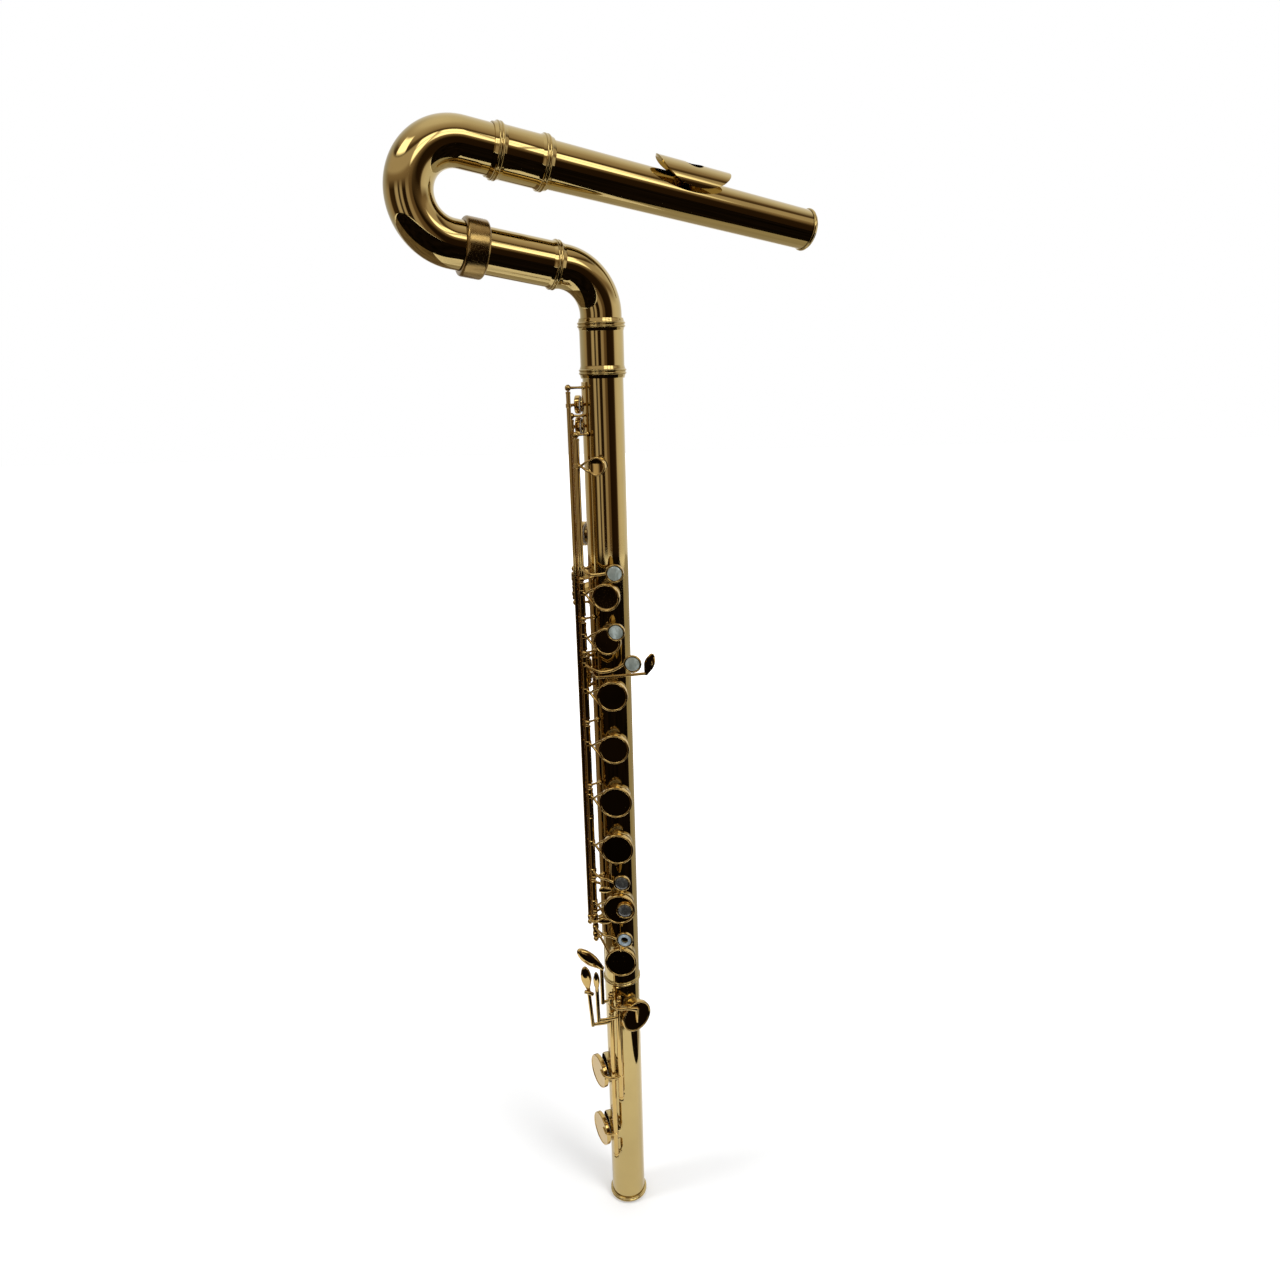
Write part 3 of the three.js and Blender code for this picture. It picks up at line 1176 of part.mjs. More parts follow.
// Finishes, as colour, roughness and metalness
const FINISHES = {
  gold: [0xc9a24e, 0.15, 0.95],
  keyGold: [0xcfa955, 0.18, 0.95],
  steel: [0xa9abad, 0.3, 0.9],
  satin: [0x7d5f36, 0.45, 0.7],
  pad: [0xe6ddca, 0.85, 0],
  palePearl: [0xc3cdc6, 0.3, 0.05],
  darkPearl: [0x4a4f52, 0.3, 0.05],
  ringPearl: [0xd9dde0, 0.3, 0.05],
  cork: [0x9c7a55, 0.9, 0],
};

function node(name, body, finish) {
  const [color, roughness, metalness] = FINISHES[finish];
  return meshOf(name, body, new THREE.MeshStandardMaterial({ color, roughness, metalness }));
}

function groupOf(name, ...members) {
  const group = new THREE.Group();
  group.name = name;
  members.flat().forEach((member) => group.add(member));
  return group;
}

// A key with what rides on it, modelled closed and turned to its rest about its hinge line.
function keyGroup(name, on, rest, body, riders = []) {
  const carried = [[name, body, "keyGold"], ...riders].map(([label, made, finish]) =>
    node(label, moved(made, -on.at.x, -on.at.y, 0), finish));
  const group = groupOf(`${name}_hinge`, carried);
  group.position.set(on.at.x, on.at.y, 0);
  group.rotation.z = rad(rest);
  return group;
}

const padOf = (name, at) => [`${name}_pad`, pad(at), "pad"];

function bodyKeys() {
  const { main, thumb, gSharp, trill, secondTrill } = LINES;
  const plane = touchPlane();
  const open = -MAIN_SWING;
  return [
    keyGroup("trill_d_sharp_key", trill, 0, trillDSharpKey()),
    keyGroup("trill_d_key", secondTrill, 0, trillDKey()),
    keyGroup("c_key", main, open, cKey(), [
      ["c_key_pearl", pearl(LH_FIRST_TOUCH_X, LH_FIRST_TOUCH_Z, plane), "palePearl"],
    ]),
    keyGroup("b_flat_key", main, open, bFlatKey()),
    keyGroup("a_key", main, open, aKey(), [
      ["a_key_pearl", pearl(...onCup(HOLES.a, LH_SECOND_PEARL_X, LH_SECOND_PEARL_Z)), "palePearl"],
    ]),
    keyGroup("upper_g_key", main, open, upperGKey(), [
      padOf("upper_g_key", HOLES.upperG),
      ["upper_g_key_pearl", pearl(LH_THIRD_TOUCH_X, LH_THIRD_TOUCH_Z, plane), "palePearl"],
    ]),
    keyGroup("lower_g_key", main, open, lowerGKey(), [padOf("lower_g_key", HOLES.lowerG)]),
    keyGroup("g_sharp_key", gSharp, 0, gSharpKey()),
    keyGroup("thumb_b_key", thumb, MAIN_SWING, thumbBKey()),
    keyGroup("thumb_b_flat_key", thumb, MAIN_SWING, thumbBFlatKey()),
    keyGroup("f_sharp_key", main, open, fSharpKey(), [padOf("f_sharp_key", HOLES.fSharp)]),
    keyGroup("f_key", main, open, fKey(), [
      padOf("f_key", HOLES.f),
      ["f_key_pearl", pearl(RH_FIRST_TOUCH_X, RH_FIRST_TOUCH_Z, plane), "darkPearl"],
    ]),
    keyGroup("e_key", main, open, eKey(), [
      padOf("e_key", HOLES.e),
      ["e_key_pearl", pearl(...onCup(HOLES.e, RH_SECOND_PEARL_X, E_Z)), "darkPearl"],
    ]),
    keyGroup("d_key", main, open, dKey(), [
      padOf("d_key", HOLES.d),
      ["d_key_pearl", pearl(RH_THIRD_TOUCH_X, RH_THIRD_TOUCH_Z, plane, 0, RING_PEARL_HOLE_R), "ringPearl"],
    ]),
  ];
}

function footKeys() {
  const { lowC, lowCSharp } = LINES;
  return [
    keyGroup("d_sharp_key", lowC, 0, dSharpKey(), [padOf("d_sharp_key", HOLES.dSharp)]),
    keyGroup("low_c_sharp_key", lowCSharp, FOOT_SWING, lowCSharpKey(), [
      padOf("low_c_sharp_key", HOLES.lowCSharp),
    ]),
    keyGroup("low_c_key", lowC, FOOT_SWING, lowCKey(), [padOf("low_c_key", HOLES.lowC)]),
  ];
}

// The long strap that carries the posts of the front lines.
function mainRib() {
  const { main, trill, secondTrill, gSharp } = LINES;
  const posts = [
    [trill, TRILL_TOP_POST_Z], [trill, TRILL_LOW_POST_Z],
    [secondTrill, SECOND_TRILL_TOP_POST_Z], [secondTrill, TRILL_LOW_POST_Z],
    [gSharp, G_SHARP_TOP_POST_Z], [gSharp, G_SHARP_LOW_POST_Z],
    ...[
      MAIN_TOP_POST_Z, BODY_MIDDLE_POST_Z, A_TOP_POST_Z, G_TOP_POST_Z, G_MIDDLE_POST_Z,
      RIGHT_HAND_POST_Z, E_TOP_POST_Z, D_TOP_POST_Z, MAIN_LOW_POST_Z,
    ].map((z) => [main, z]),
  ];
  return postedRib(RIB_FACE, MAIN_LOW_POST_Z - RIB_END, TRILL_TOP_POST_Z + RIB_END, posts);
}

function thumbRib() {
  const { thumb } = LINES;
  const posts = [[thumb, THUMB_LOW_POST_Z], [thumb, THUMB_TOP_POST_Z]];
  return postedRib(THUMB_RIB_FACE, THUMB_LOW_POST_Z - RIB_END, THUMB_TOP_POST_Z + RIB_END, posts);
}

function footRib() {
  const { lowC, lowCSharp } = LINES;
  const posts = [[lowC, FOOT_TOP_POST_Z], [lowCSharp, LOW_C_SHARP_TOP_POST_Z]];
  return postedRib(FOOT_RIB_FACE, LOW_C_SHARP_TOP_POST_Z - RIB_END, FOOT_TOP_POST_Z + RIB_END, posts);
}

function bodySteels() {
  const { main, thumb, gSharp, trill, secondTrill } = LINES;
  return [
    ["upper_steel", main, BODY_MIDDLE_POST_Z, MAIN_TOP_POST_Z],
    ["left_hand_steel", main, RIGHT_HAND_POST_Z, BODY_MIDDLE_POST_Z],
    ["right_hand_steel", main, MAIN_LOW_POST_Z, RIGHT_HAND_POST_Z],
    ["trill_steel", trill, TRILL_LOW_POST_Z, TRILL_TOP_POST_Z],
    ["second_trill_steel", secondTrill, TRILL_LOW_POST_Z, SECOND_TRILL_TOP_POST_Z],
    ["thumb_steel", thumb, THUMB_LOW_POST_Z, THUMB_TOP_POST_Z],
    ["g_sharp_steel", gSharp, G_SHARP_LOW_POST_Z, G_SHARP_TOP_POST_Z],
  ].map(([name, on, low, high]) => node(name, steel(on, low, high), "steel"));
}

// Head tube, lip plate, crown and cork stopper, turned on the head tube's line.
function mouthpiece() {
  const group = groupOf(
    "mouthpiece",
    node("head_tube", headTube(), "gold"),
    node("lip_plate", lipPlate(), "gold"),
    node("riser", riser(), "gold"),
    node("crown", crown(), "gold"),
    node("cork_screw", corkScrew(), "steel"),
    node("cork_stopper", corkStopper(), "cork"),
  );
  group.rotation.z = rad(LIP_ROLL);
  return group;
}

// The bent neck, the tuning slide and the U-bend that carries the head tube.
function neck() {
  const turn = elbowTurn();
  const head = groupOf("head", node("head_socket", headSocket(), "gold"), mouthpiece());
  head.position.set(-2 * BEND_R, 0, BEND_LEAD);
  head.rotation.y = Math.PI;
  const slide = groupOf("slide", node("u_bend", uBend(), "gold"), head);
  slide.position.z = RECEIVER_START + RECEIVER_LENGTH + FIT_GAP;
  slide.rotation.z = Math.PI;
  const receiverMesh = node("receiver", receiver(), "gold");
  receiverMesh.position.z = RECEIVER_START;
  const collarMesh = node("slide_collar", slideCollar(), "satin");
  collarMesh.position.z = RECEIVER_START + RECEIVER_LENGTH - COLLAR_LENGTH;
  const level = groupOf("level_part", receiverMesh, collarMesh, slide);
  level.position.set(-ELBOW_R * (1 - Math.cos(turn)), 0, bendStart() + ELBOW_R * Math.sin(turn));
  level.rotation.y = -turn;
  const group = groupOf("neck", node("elbow", elbow(), "gold"), level);
  group.rotation.z = rad(HEAD_SWIVEL);
  return group;
}

const foot = groupOf(
  "foot",
  node("foot_tube", footTube(), "gold"),
  node("foot_end_ring", footEndRing(), "gold"),
  node("foot_rib", footRib(), "keyGold"),
  node("low_c_steel", steel(LINES.lowC, LOW_C_POST_Z, FOOT_TOP_POST_Z), "steel"),
  node("low_c_sharp_steel", steel(LINES.lowCSharp, LOW_C_SHARP_POST_Z, LOW_C_SHARP_TOP_POST_Z), "steel"),
  footKeys(),
);

const body = groupOf(
  "body",
  node("body_tube", bodyTube(), "gold"),
  node("barrel", barrel(), "gold"),
  node("main_rib", mainRib(), "keyGold"),
  node("thumb_rib", thumbRib(), "keyGold"),
  bodySteels(),
  bodyKeys(),
  neck(),
);
body.position.z = FOOT_LENGTH;

const flute = groupOf("bass_flute", foot, body);

export default flute;
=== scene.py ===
"""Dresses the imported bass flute: smooth lacquered tubes, keywork, pads and pearls."""

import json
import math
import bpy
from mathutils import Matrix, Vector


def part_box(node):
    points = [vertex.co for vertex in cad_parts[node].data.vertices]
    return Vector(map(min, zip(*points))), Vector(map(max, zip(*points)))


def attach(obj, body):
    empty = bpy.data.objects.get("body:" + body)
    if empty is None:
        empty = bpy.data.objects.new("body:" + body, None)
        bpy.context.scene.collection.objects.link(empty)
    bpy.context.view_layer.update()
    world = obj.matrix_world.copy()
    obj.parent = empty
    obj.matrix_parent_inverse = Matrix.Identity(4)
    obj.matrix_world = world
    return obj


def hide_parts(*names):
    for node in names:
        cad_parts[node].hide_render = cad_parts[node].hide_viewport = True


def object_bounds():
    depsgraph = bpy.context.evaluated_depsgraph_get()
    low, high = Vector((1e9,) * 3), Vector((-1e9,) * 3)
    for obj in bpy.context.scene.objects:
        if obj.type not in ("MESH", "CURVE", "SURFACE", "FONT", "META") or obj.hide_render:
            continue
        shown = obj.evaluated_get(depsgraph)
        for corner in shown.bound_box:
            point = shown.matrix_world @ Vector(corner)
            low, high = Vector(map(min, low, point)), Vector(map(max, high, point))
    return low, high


bl_info = {
    "name": "Bass Flute Dresser",
    "version": (1, 0, 0),
    "blender": (4, 5, 0),
    "location": "View3D > Sidebar > Flute",
    "description": "Models the visible tubes, keys, pads and pearls of an upright bass flute on its frame",
    "category": "Object",
}

import bmesh
import bpy
from bpy.props import FloatProperty, FloatVectorProperty, PointerProperty
from mathutils import Matrix, Vector

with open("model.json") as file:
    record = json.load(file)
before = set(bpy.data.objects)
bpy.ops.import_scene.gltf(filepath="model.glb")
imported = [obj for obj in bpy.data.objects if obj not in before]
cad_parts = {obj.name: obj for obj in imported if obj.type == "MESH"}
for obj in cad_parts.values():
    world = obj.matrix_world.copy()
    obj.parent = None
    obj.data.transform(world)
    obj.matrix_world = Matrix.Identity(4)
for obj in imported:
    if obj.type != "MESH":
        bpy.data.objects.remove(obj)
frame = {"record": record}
CAD_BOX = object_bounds()
JOINTS = frame["record"]["behaviour"]["joints"]
HINGES = {joint["child"]: Vector(joint["pos_m"]) for joint in JOINTS if "pos_m" in joint}

# Facets of round pieces, and the reaches that count as the axis and as one point, metres
TUBE_STEPS = 96
CUP_STEPS = 64
ROD_STEPS = 28
LIMB_STEPS = 16
BEND_STEPS = 48
ON_AXIS = 1e-7
WELD = 1e-6

# Main tube, metres
TUBE_R = 0.016
TUBE_WALL = 0.0006
FOOT_TOP = 0.252
TENON_LENGTH = 0.024
BODY_TOP = 0.809
GAP = 0.0003
BEAD_WIDTH = 0.0044
BEAD_RISE = 0.001
SWELL_WIDTH = 0.0095
SWELL_RISE = 0.0015
SLEEVE_WALL = 0.0008

# Barrel, neck and head, metres and degrees
BARREL_LOW = 0.788
BARREL_TOP = 0.832
ELBOW_START = 0.8342
ELBOW_R = 0.0347
HEAD_TILT = math.radians(9.53)
HEAD_SWIVEL = math.radians(24)
ELBOW_TENON = 0.014
RECEIVER_START = 0.0029
RECEIVER_LENGTH = 0.0744
RECEIVER_R = 0.0164
COLLAR_LENGTH = 0.017
COLLAR_R = 0.0205
SLIDE_TENON = 0.052
SLIDE_TENON_R = TUBE_R - 0.0004
BEND_R = 0.0332
BEND_TUBE_R = 0.01705
BEND_LEAD = 0.0058
BEND_EXIT = 0.030
SOCKET_START = 0.0196
SOCKET_LENGTH = 0.0442
SOCKET_R = 0.01805
HEAD_START = 0.034
HEAD_END = 0.2848
HEAD_START_R = 0.0167
HEAD_END_R = 0.0153
BLOW_HOLE = 0.175
BLOW_LENGTH = 0.015
BLOW_WIDTH = 0.013
PLATE_LENGTH = 0.062
PLATE_ARC = math.radians(52)
PLATE_RISE = 0.0082
PLATE_DROP = 0.0045
PLATE_WALL = 0.0014
PLATE_ROLL = math.radians(22)
CROWN_PLUG = 0.009
CORK_SETBACK = 0.016
CORK_LENGTH = 0.020
CORK_SCREW_R = 0.002

# Key cups, pads and chimneys, metres
CUP_WALL = 0.0008
CUP_HEIGHT = 0.004
PAD_PROUD = 0.0006
PAD_THICKNESS = 0.0024
CUP_OVERHANG = 0.0017
CHIMNEY_WALL = 0.0008
FRONT_RISE = 0.0032
SIDE_RISE = 0.0016
HINGE_R = 0.0023
STEEL_R = 0.0011
BALL_R = 0.0024
RIB_WIDTH = 0.0075
RIB_THICKNESS = 0.0013
ARM_WIDTH = 0.0026
ARM_THICKNESS = 0.002
ARM_DROP = 0.003
PRONG_TURN = 38
TOUCH_R = 0.0074
TOUCH_HEIGHT = 0.0028
TOUCH_LEVEL = 0.027
TOUCH_WALL = 0.0012
TOUCH_FLOOR = 0.001
PEARL_RISE = 0.0014
TRILL_LEVEL = 0.0234
LEAF_THICKNESS = 0.002
FOOT_LEVER_WIDTH = 0.0034
LEVER_THICKNESS = 0.0024
SEAT_SINK = 0.0005
ARM_LEVEL = CUP_HEIGHT - ARM_THICKNESS / 2
CUP_DISH = 0.0005
CUP_RING = 0.0017
CUP_BOWL = 0.0001
SMALL_CUP_BOWL = 0.0005
SMALL_CUP_R = 0.008
TRILL_HINGE_R = 0.0017
TRILL_STEEL_R = 0.0008
FOOT_LEVEL = TUBE_R + 0.009
D_SHARP_BAR = 0.2385
D_SHARP_STEM_TOP = 0.2765
LOW_STEM_TOP = 0.257

# A leaf touch from end to end: shares of its length, its width and its dome's rise
LEAF_SHAPE = (
    (0, 0.3, 0), (0.1, 0.45, 0.03), (0.25, 0.72, 0.12), (0.45, 1, 0.3), (0.65, 1.03, 0.35),
    (0.8, 0.9, 0.27), (0.92, 0.64, 0.12), (0.98, 0.38, 0.04), (1, 0.16, 0),
)
# The thumb's touches across the tube: degrees round, lift from the tube and width
THUMB_TOUCH = (
    (111, 0.0108, ARM_WIDTH), (128, 0.0092, 0.0078), (136, 0.009, 0.009), (150, 0.009, 0.0086),
    (158, 0.009, 0.0052),
)

# Each tone hole: which way it faces in degrees from -Y towards -X, its height,
# its cup's radius and its chimney's rise
HOLES = {
    "trill_d_sharp_key": (98, 0.7683, 0.0072, SIDE_RISE),
    "trill_d_key": (98, 0.7518, 0.0072, SIDE_RISE),
    "c_key": (14, 0.7226, 0.0075, FRONT_RISE),
    "thumb_b_key": (118, 0.6646, 0.010, SIDE_RISE),
    "b_flat_key": (4, 0.6186, 0.0115, FRONT_RISE),
    "a_key": (4, 0.5819, 0.0115, FRONT_RISE),
    "g_sharp_key": (112, 0.548, 0.008, SIDE_RISE),
    "upper_g_key": (-3, 0.5346, 0.013, FRONT_RISE),
    "lower_g_key": (-3, 0.4874, 0.013, FRONT_RISE),
    "f_sharp_key": (-3, 0.4387, 0.0142, FRONT_RISE),
    "f_key": (-3, 0.394, 0.0142, FRONT_RISE),
    "e_key": (-3, 0.3349, 0.0142, FRONT_RISE),
    "d_key": (-3, 0.2808, 0.0142, FRONT_RISE),
    "d_sharp_key": (-34, 0.218, 0.0152, FRONT_RISE),
    "low_c_sharp_key": (73, 0.1505, 0.0155, FRONT_RISE),
    "low_c_key": (73, 0.0825, 0.0155, FRONT_RISE),
}
FOOT_KEYS = ("d_sharp_key", "low_c_sharp_key", "low_c_key")
# Keys whose pad is a node of its own in the frame
PADDED = ("upper_g_key", "lower_g_key", "f_sharp_key", "f_key", "e_key", "d_key") + FOOT_KEYS

# How each key rests, in degrees about its hinge from where its pad closes the hole
REST = dict.fromkeys(("c_key", "b_flat_key", "a_key", "upper_g_key", "lower_g_key",
                      "f_sharp_key", "f_key", "e_key", "d_key"), -8)
REST.update({"thumb_b_key": 8, "thumb_b_flat_key": 8, "low_c_sharp_key": 10, "low_c_key": 10})

# Hinge tubes: the two heights between which each key's tube turns
TUBES = {
    "trill_d_sharp_key": (0.3192, 0.7788),
    "trill_d_key": (0.3192, 0.7575),
    "c_key": (0.6349, 0.7435),
    "b_flat_key": (0.6017, 0.6295),
    "a_key": (0.5727, 0.5963),
    "upper_g_key": (0.5117, 0.5673),
    "lower_g_key": (0.4537, 0.5063),
    "g_sharp_key": (0.5417, 0.5618),
    "thumb_b_key": (0.62405, 0.6353),
    "thumb_b_flat_key": (0.6122, 0.62375),
    "f_sharp_key": (0.42138, 0.4483),
    "f_key": (0.3645, 0.42108),
    "e_key": (0.3304, 0.3591),
    "d_key": (0.3030, 0.3250),
    "d_sharp_key": (0.2252, 0.2408),
    "low_c_sharp_key": (0.1307, 0.2343),
    "low_c_key": (0.0627, 0.2198),
}

# Posts, by the key whose hinge line they hold
MAIN_POSTS = (0.7462, 0.6322, 0.599, 0.570, 0.509, 0.451, 0.3618, 0.3277, 0.3003)
POSTS = {
    "main_rib": [("c_key", z) for z in MAIN_POSTS] + [
        ("trill_d_sharp_key", 0.7815), ("trill_d_sharp_key", 0.3165),
        ("trill_d_key", 0.7602), ("trill_d_key", 0.3165),
        ("g_sharp_key", 0.5645), ("g_sharp_key", 0.539)],
    "thumb_rib": [("thumb_b_key", 0.638), ("thumb_b_key", 0.6095)],
    "foot_rib": [("low_c_key", 0.2435), ("low_c_sharp_key", 0.237)],
    "foot_tube": [("low_c_key", 0.2225), ("low_c_key", 0.060), ("low_c_sharp_key", 0.128)],
}

# The room that the metal mirrors, a glowing sphere of painted reflections: metres, and its painted brightness
# by degrees round and up
ROOM_R = 3.4
ROOM_LEVEL = 0.75
ROOM_GLOW = 1.15
WALL_TOP = 14
WALL_BLUR = 4
WALL_LEVELS = (
    (-180, 0.5), (-88, 0.45), (-80, 0.06), (-56, 0.04), (-50, 0.6), (-40, 0.65), (-36, 0.05), (-32, 0.03),
    (-26, 0.6), (-20, 0.5), (-17, 0.03), (-4, 0.02), (0, 0.5), (10, 0.45), (14, 0.18), (24, 0.15), (28, 0.02),
    (60, 0.03), (66, 0.1), (72, 0.75), (90, 0.9), (180, 0.92),
)
CEILING_LEVELS = (
    (-90, 0.02), (14, 0.2), (22, 0.34), (26, 0.6), (38, 0.6), (41, 0.08), (46, 0.14), (50, 0.4),
    (62, 0.6), (74, 0.85), (90, 0.92),
)
# Each window's painted highlight strip, round the room, then upwards
WINDOW_HIGHLIGHTS = (
    (((8, 0), (12, 1), (26, 1), (27, 0.1), (29, 0.1), (30, 1), (44, 1), (45, 0.1), (47, 0.1),
      (48, 1), (56, 1), (62, 0)),
     ((21, 0), (24, 1), (31, 1), (31.5, 0.2), (32.5, 0.2), (33, 1), (39, 1), (42, 0))),
    (((-75, 0), (-70, 1), (-30, 1), (-25, 0)), ((40, 0), (44, 1), (56, 1), (60, 0))),
)
WINDOW_HIGHLIGHT_COLOUR = (2.8, 2.8, 2.6)
# Sheets of painted reflection on the floor that only the metal sees: darkest and lightest colour, and each
# patch's left, right, front and back
REFLECTION_SHEETS = (
    ("dark_mat", (0.003, 0.002, 0.001), (0.014, 0.009, 0.006), ((-3, 3, -3, -0.27), (0.2, 3, -0.27, 0.06))),
    ("brown_mat", (0.14, 0.10, 0.06), (0.3, 0.23, 0.14), ((-3, -0.38, -0.27, 3),)),
    ("beige_mat", (0.46, 0.42, 0.33), (0.6, 0.56, 0.46), ((-0.38, 0.2, 0.3, 3), (0.2, 3, 0.06, 3))),
)
# Soft lamps: place, width, height and the setting that holds the power
LAMPS = {
    "key_light": ((0.9, -0.9, 1.5), 0.6, 1.4, "key_power"),
    "left_light": ((-1.2, -0.35, 0.8), 0.35, 1.5, "fill_power"),
    "top_light": ((0, 0.2, 2.2), 1.2, 1.2, "fill_power"),
}
# The photograph's camera: millimetres, degrees and metres
LENS = 26.865
SENSOR = 36
CAMERA_PITCH = math.radians(16.313)
CAMERA_ROLL = math.radians(-1.337)
CAMERA_PLACE = (0.024124, -0.770183, 0.800498)

# Colours that no setting changes
# The keywork's lacquer is a brighter, warmer copy of the tube's gold: painted highlight for the keys'
# brighter reflections
KEY_GOLD_HIGHLIGHT_TINT = (1.12, 1.02, 0.88)
STEEL_COLOUR = (0.5, 0.48, 0.45)
CORK_COLOUR = (0.48, 0.32, 0.17)
RING_PEARL = (0.2, 0.25, 0.28)
PALE_VEIL = (0.33, 0.38, 0.36)
DARK_VEIL = (0.10, 0.10, 0.09)
RING_VEIL = (0.3, 0.36, 0.4)


def colour_setting(name, description, default):
    """A colour that a user may change."""
    return FloatVectorProperty(name=name, description=description, subtype="COLOR",
                               size=3, min=0, max=1, default=default)


class LookSettings(bpy.types.PropertyGroup):
    """Finishes that a user may change."""

    gold: colour_setting("Lacquer", "Colour of the gold lacquered brass", (0.47, 0.352, 0.143))
    gold_roughness: FloatProperty(
        name="Lacquer roughness", description="How soft the brass's reflections are",
        min=0, max=1, default=0.055)
    collar: colour_setting("Collar", "Colour of the slide's satin collar", (0.33, 0.22, 0.08))
    pad: colour_setting("Pad", "Colour of the pads' skin", (0.80, 0.72, 0.60))
    pale_pearl: colour_setting("Pale pearl", "Colour of the left hand's pearls", (0.17, 0.19, 0.165))
    dark_pearl: colour_setting("Dark pearl", "Colour of the right hand's pearls", (0.030, 0.030, 0.027))


class StageSettings(bpy.types.PropertyGroup):
    """Light and floor."""

    key_power: FloatProperty(
        name="Key light", description="Power of the main softbox", unit="POWER", default=18)
    fill_power: FloatProperty(
        name="Fill light", description="Power of the side softboxes", unit="POWER", default=9)
    floor_drop: FloatProperty(
        name="Floor drop", description="Gap between the foot's end and the floor",
        unit="LENGTH", default=0.002)


def facing(degrees):
    """The direction across the tube turned from -Y towards -X."""
    angle = math.radians(degrees)
    return Vector((-math.sin(angle), -math.cos(angle), 0))


def basis(at, axis):
    """A matrix whose Z is the axis, whose Y leans upwards, and whose origin is at."""
    z = Vector(axis).normalized()
    up = Vector((0, 0, 1)) if abs(z.z) < 0.99 else Vector((1, 0, 0))
    x = up.cross(z).normalized()
    y = z.cross(x)
    return Matrix.Translation(at) @ Matrix((x, y, z)).transposed().to_4x4()


def across(face, x, level, z):
    """A place x across and level out from the tube's axis on the side that faces so."""
    angle = math.radians(face)
    side = Vector((math.cos(angle), -math.sin(angle), 0))
    place = facing(face) * level + side * x
    place.z = z
    return place


def arc(middle, radii, start, end, steps):
    """Points (radius, height) round the middle of an ellipse, from one angle to another in degrees."""
    points = []
    for i in range(steps + 1):
        angle = math.radians(start + (end - start) * i / steps)
        points.append((middle[0] + radii[0] * math.cos(angle), middle[1] + radii[1] * math.sin(angle)))
    return points


def bevelled(inner, outer, low, high, edge):
    """A ring's or a rod's section of (radius, height) with its outer edges cut."""
    return [(inner, low), (outer - edge, low), (outer, low + edge),
            (outer, high - edge), (outer - edge, high), (inner, high)]


def lathe(bm, profile, matrix=Matrix(), steps=TUBE_STEPS):
    """Spins a closed profile of (radius, height) about the matrix's Z."""
    verts = [bm.verts.new((r, 0, h)) for r, h in profile]
    edges = [bm.edges.new((a, b)) for a, b in zip(verts, verts[1:] + verts[:1])
             if not (a.co.x < ON_AXIS and b.co.x < ON_AXIS)]
    bmesh.ops.spin(bm, geom=verts + edges, cent=(0, 0, 0), axis=(0, 0, 1), dvec=(0, 0, 0),
                   angle=math.tau, steps=steps, use_merge=True, use_duplicate=False)
    bmesh.ops.remove_doubles(bm, verts=[v for v in bm.verts if not v.tag], dist=WELD)
    settle(bm, matrix)


def settle(bm, matrix):
    """Moves what was just made by the matrix and leaves it there."""
    made = [v for v in bm.verts if not v.tag]
    bmesh.ops.transform(bm, matrix=matrix, verts=made)
    for vert in made:
        vert.tag = True


def loop(bm, matrix, segments, cap):
    """One loop of a sweep, as its edges."""
    made = bmesh.ops.create_circle(bm, cap_ends=cap, radius=1, segments=segments, matrix=matrix)
    for vert in made["verts"]:
        vert.tag = True
    return {edge for vert in made["verts"] for edge in vert.link_edges}


def sweep(bm, rings, segments=LIMB_STEPS, bore=None):
    """Bridges loops made by matrices of a unit circle; a bore is a share of the radius."""
    last = len(rings) - 1
    loops = [loop(bm, m, segments, bore is None and i in (0, last)) for i, m in enumerate(rings)]
    for a, b in zip(loops, loops[1:]):
        bmesh.ops.bridge_loops(bm, edges=list(a | b))
    if bore is None:
        return
    inner = [loop(bm, m @ Matrix.Diagonal((bore, bore, 1, 1)), segments, False) for m in rings]
    for a, b in zip(inner, inner[1:]):
        bmesh.ops.bridge_loops(bm, edges=list(a | b))
    for end in (0, last):
        bmesh.ops.bridge_loops(bm, edges=list(loops[end] | inner[end]))


def curve(points, count):
    """A smooth run through points, each a tuple of numbers of one length."""
    padded = [points[0]] + list(points) + [points[-1]]
    run = []
    for i in range(len(points) - 1):
        a, b, c, d = padded[i:i + 4]
        for k in range(count):
            t = k / count
            run.append(tuple(
                ((2 * q) + (r - p) * t + (2 * p - 5 * q + 4 * r - s) * t * t
                 + (3 * q - p - 3 * r + s) * t ** 3) / 2
                for p, q, r, s in zip(a, b, c, d)))
    run.append(tuple(points[-1]))
    return run


def limb(bm, stations, count=4):
    """A cast arm through stations of (place, width, thickness), round-edged and smooth."""
    numbers = [tuple(place) + (width, thick) for place, width, thick in stations]
    run = curve(numbers, count if len(numbers) > 2 else 2)
    rings = []
    for i, (x, y, z, width, thick) in enumerate(run):
        before, after = run[max(i - 1, 0)], run[min(i + 1, len(run) - 1)]
        way = Vector(after[:3]) - Vector(before[:3])
        thin = Vector((-way.y, way.x, 0))
        if thin.length < WELD or abs(way.normalized().z) > 0.97:
            thin = Vector((0, 1, 0))
        thin.normalize()
        wide = way.cross(thin).normalized()
        thin = wide.cross(way).normalized()
        turn = Matrix((wide, thin, way.normalized())).transposed().to_4x4()
        size = Matrix.Diagonal((width / 2, thick / 2, 1, 1))
        rings.append(Matrix.Translation((x, y, z)) @ turn @ size)
    sweep(bm, rings)


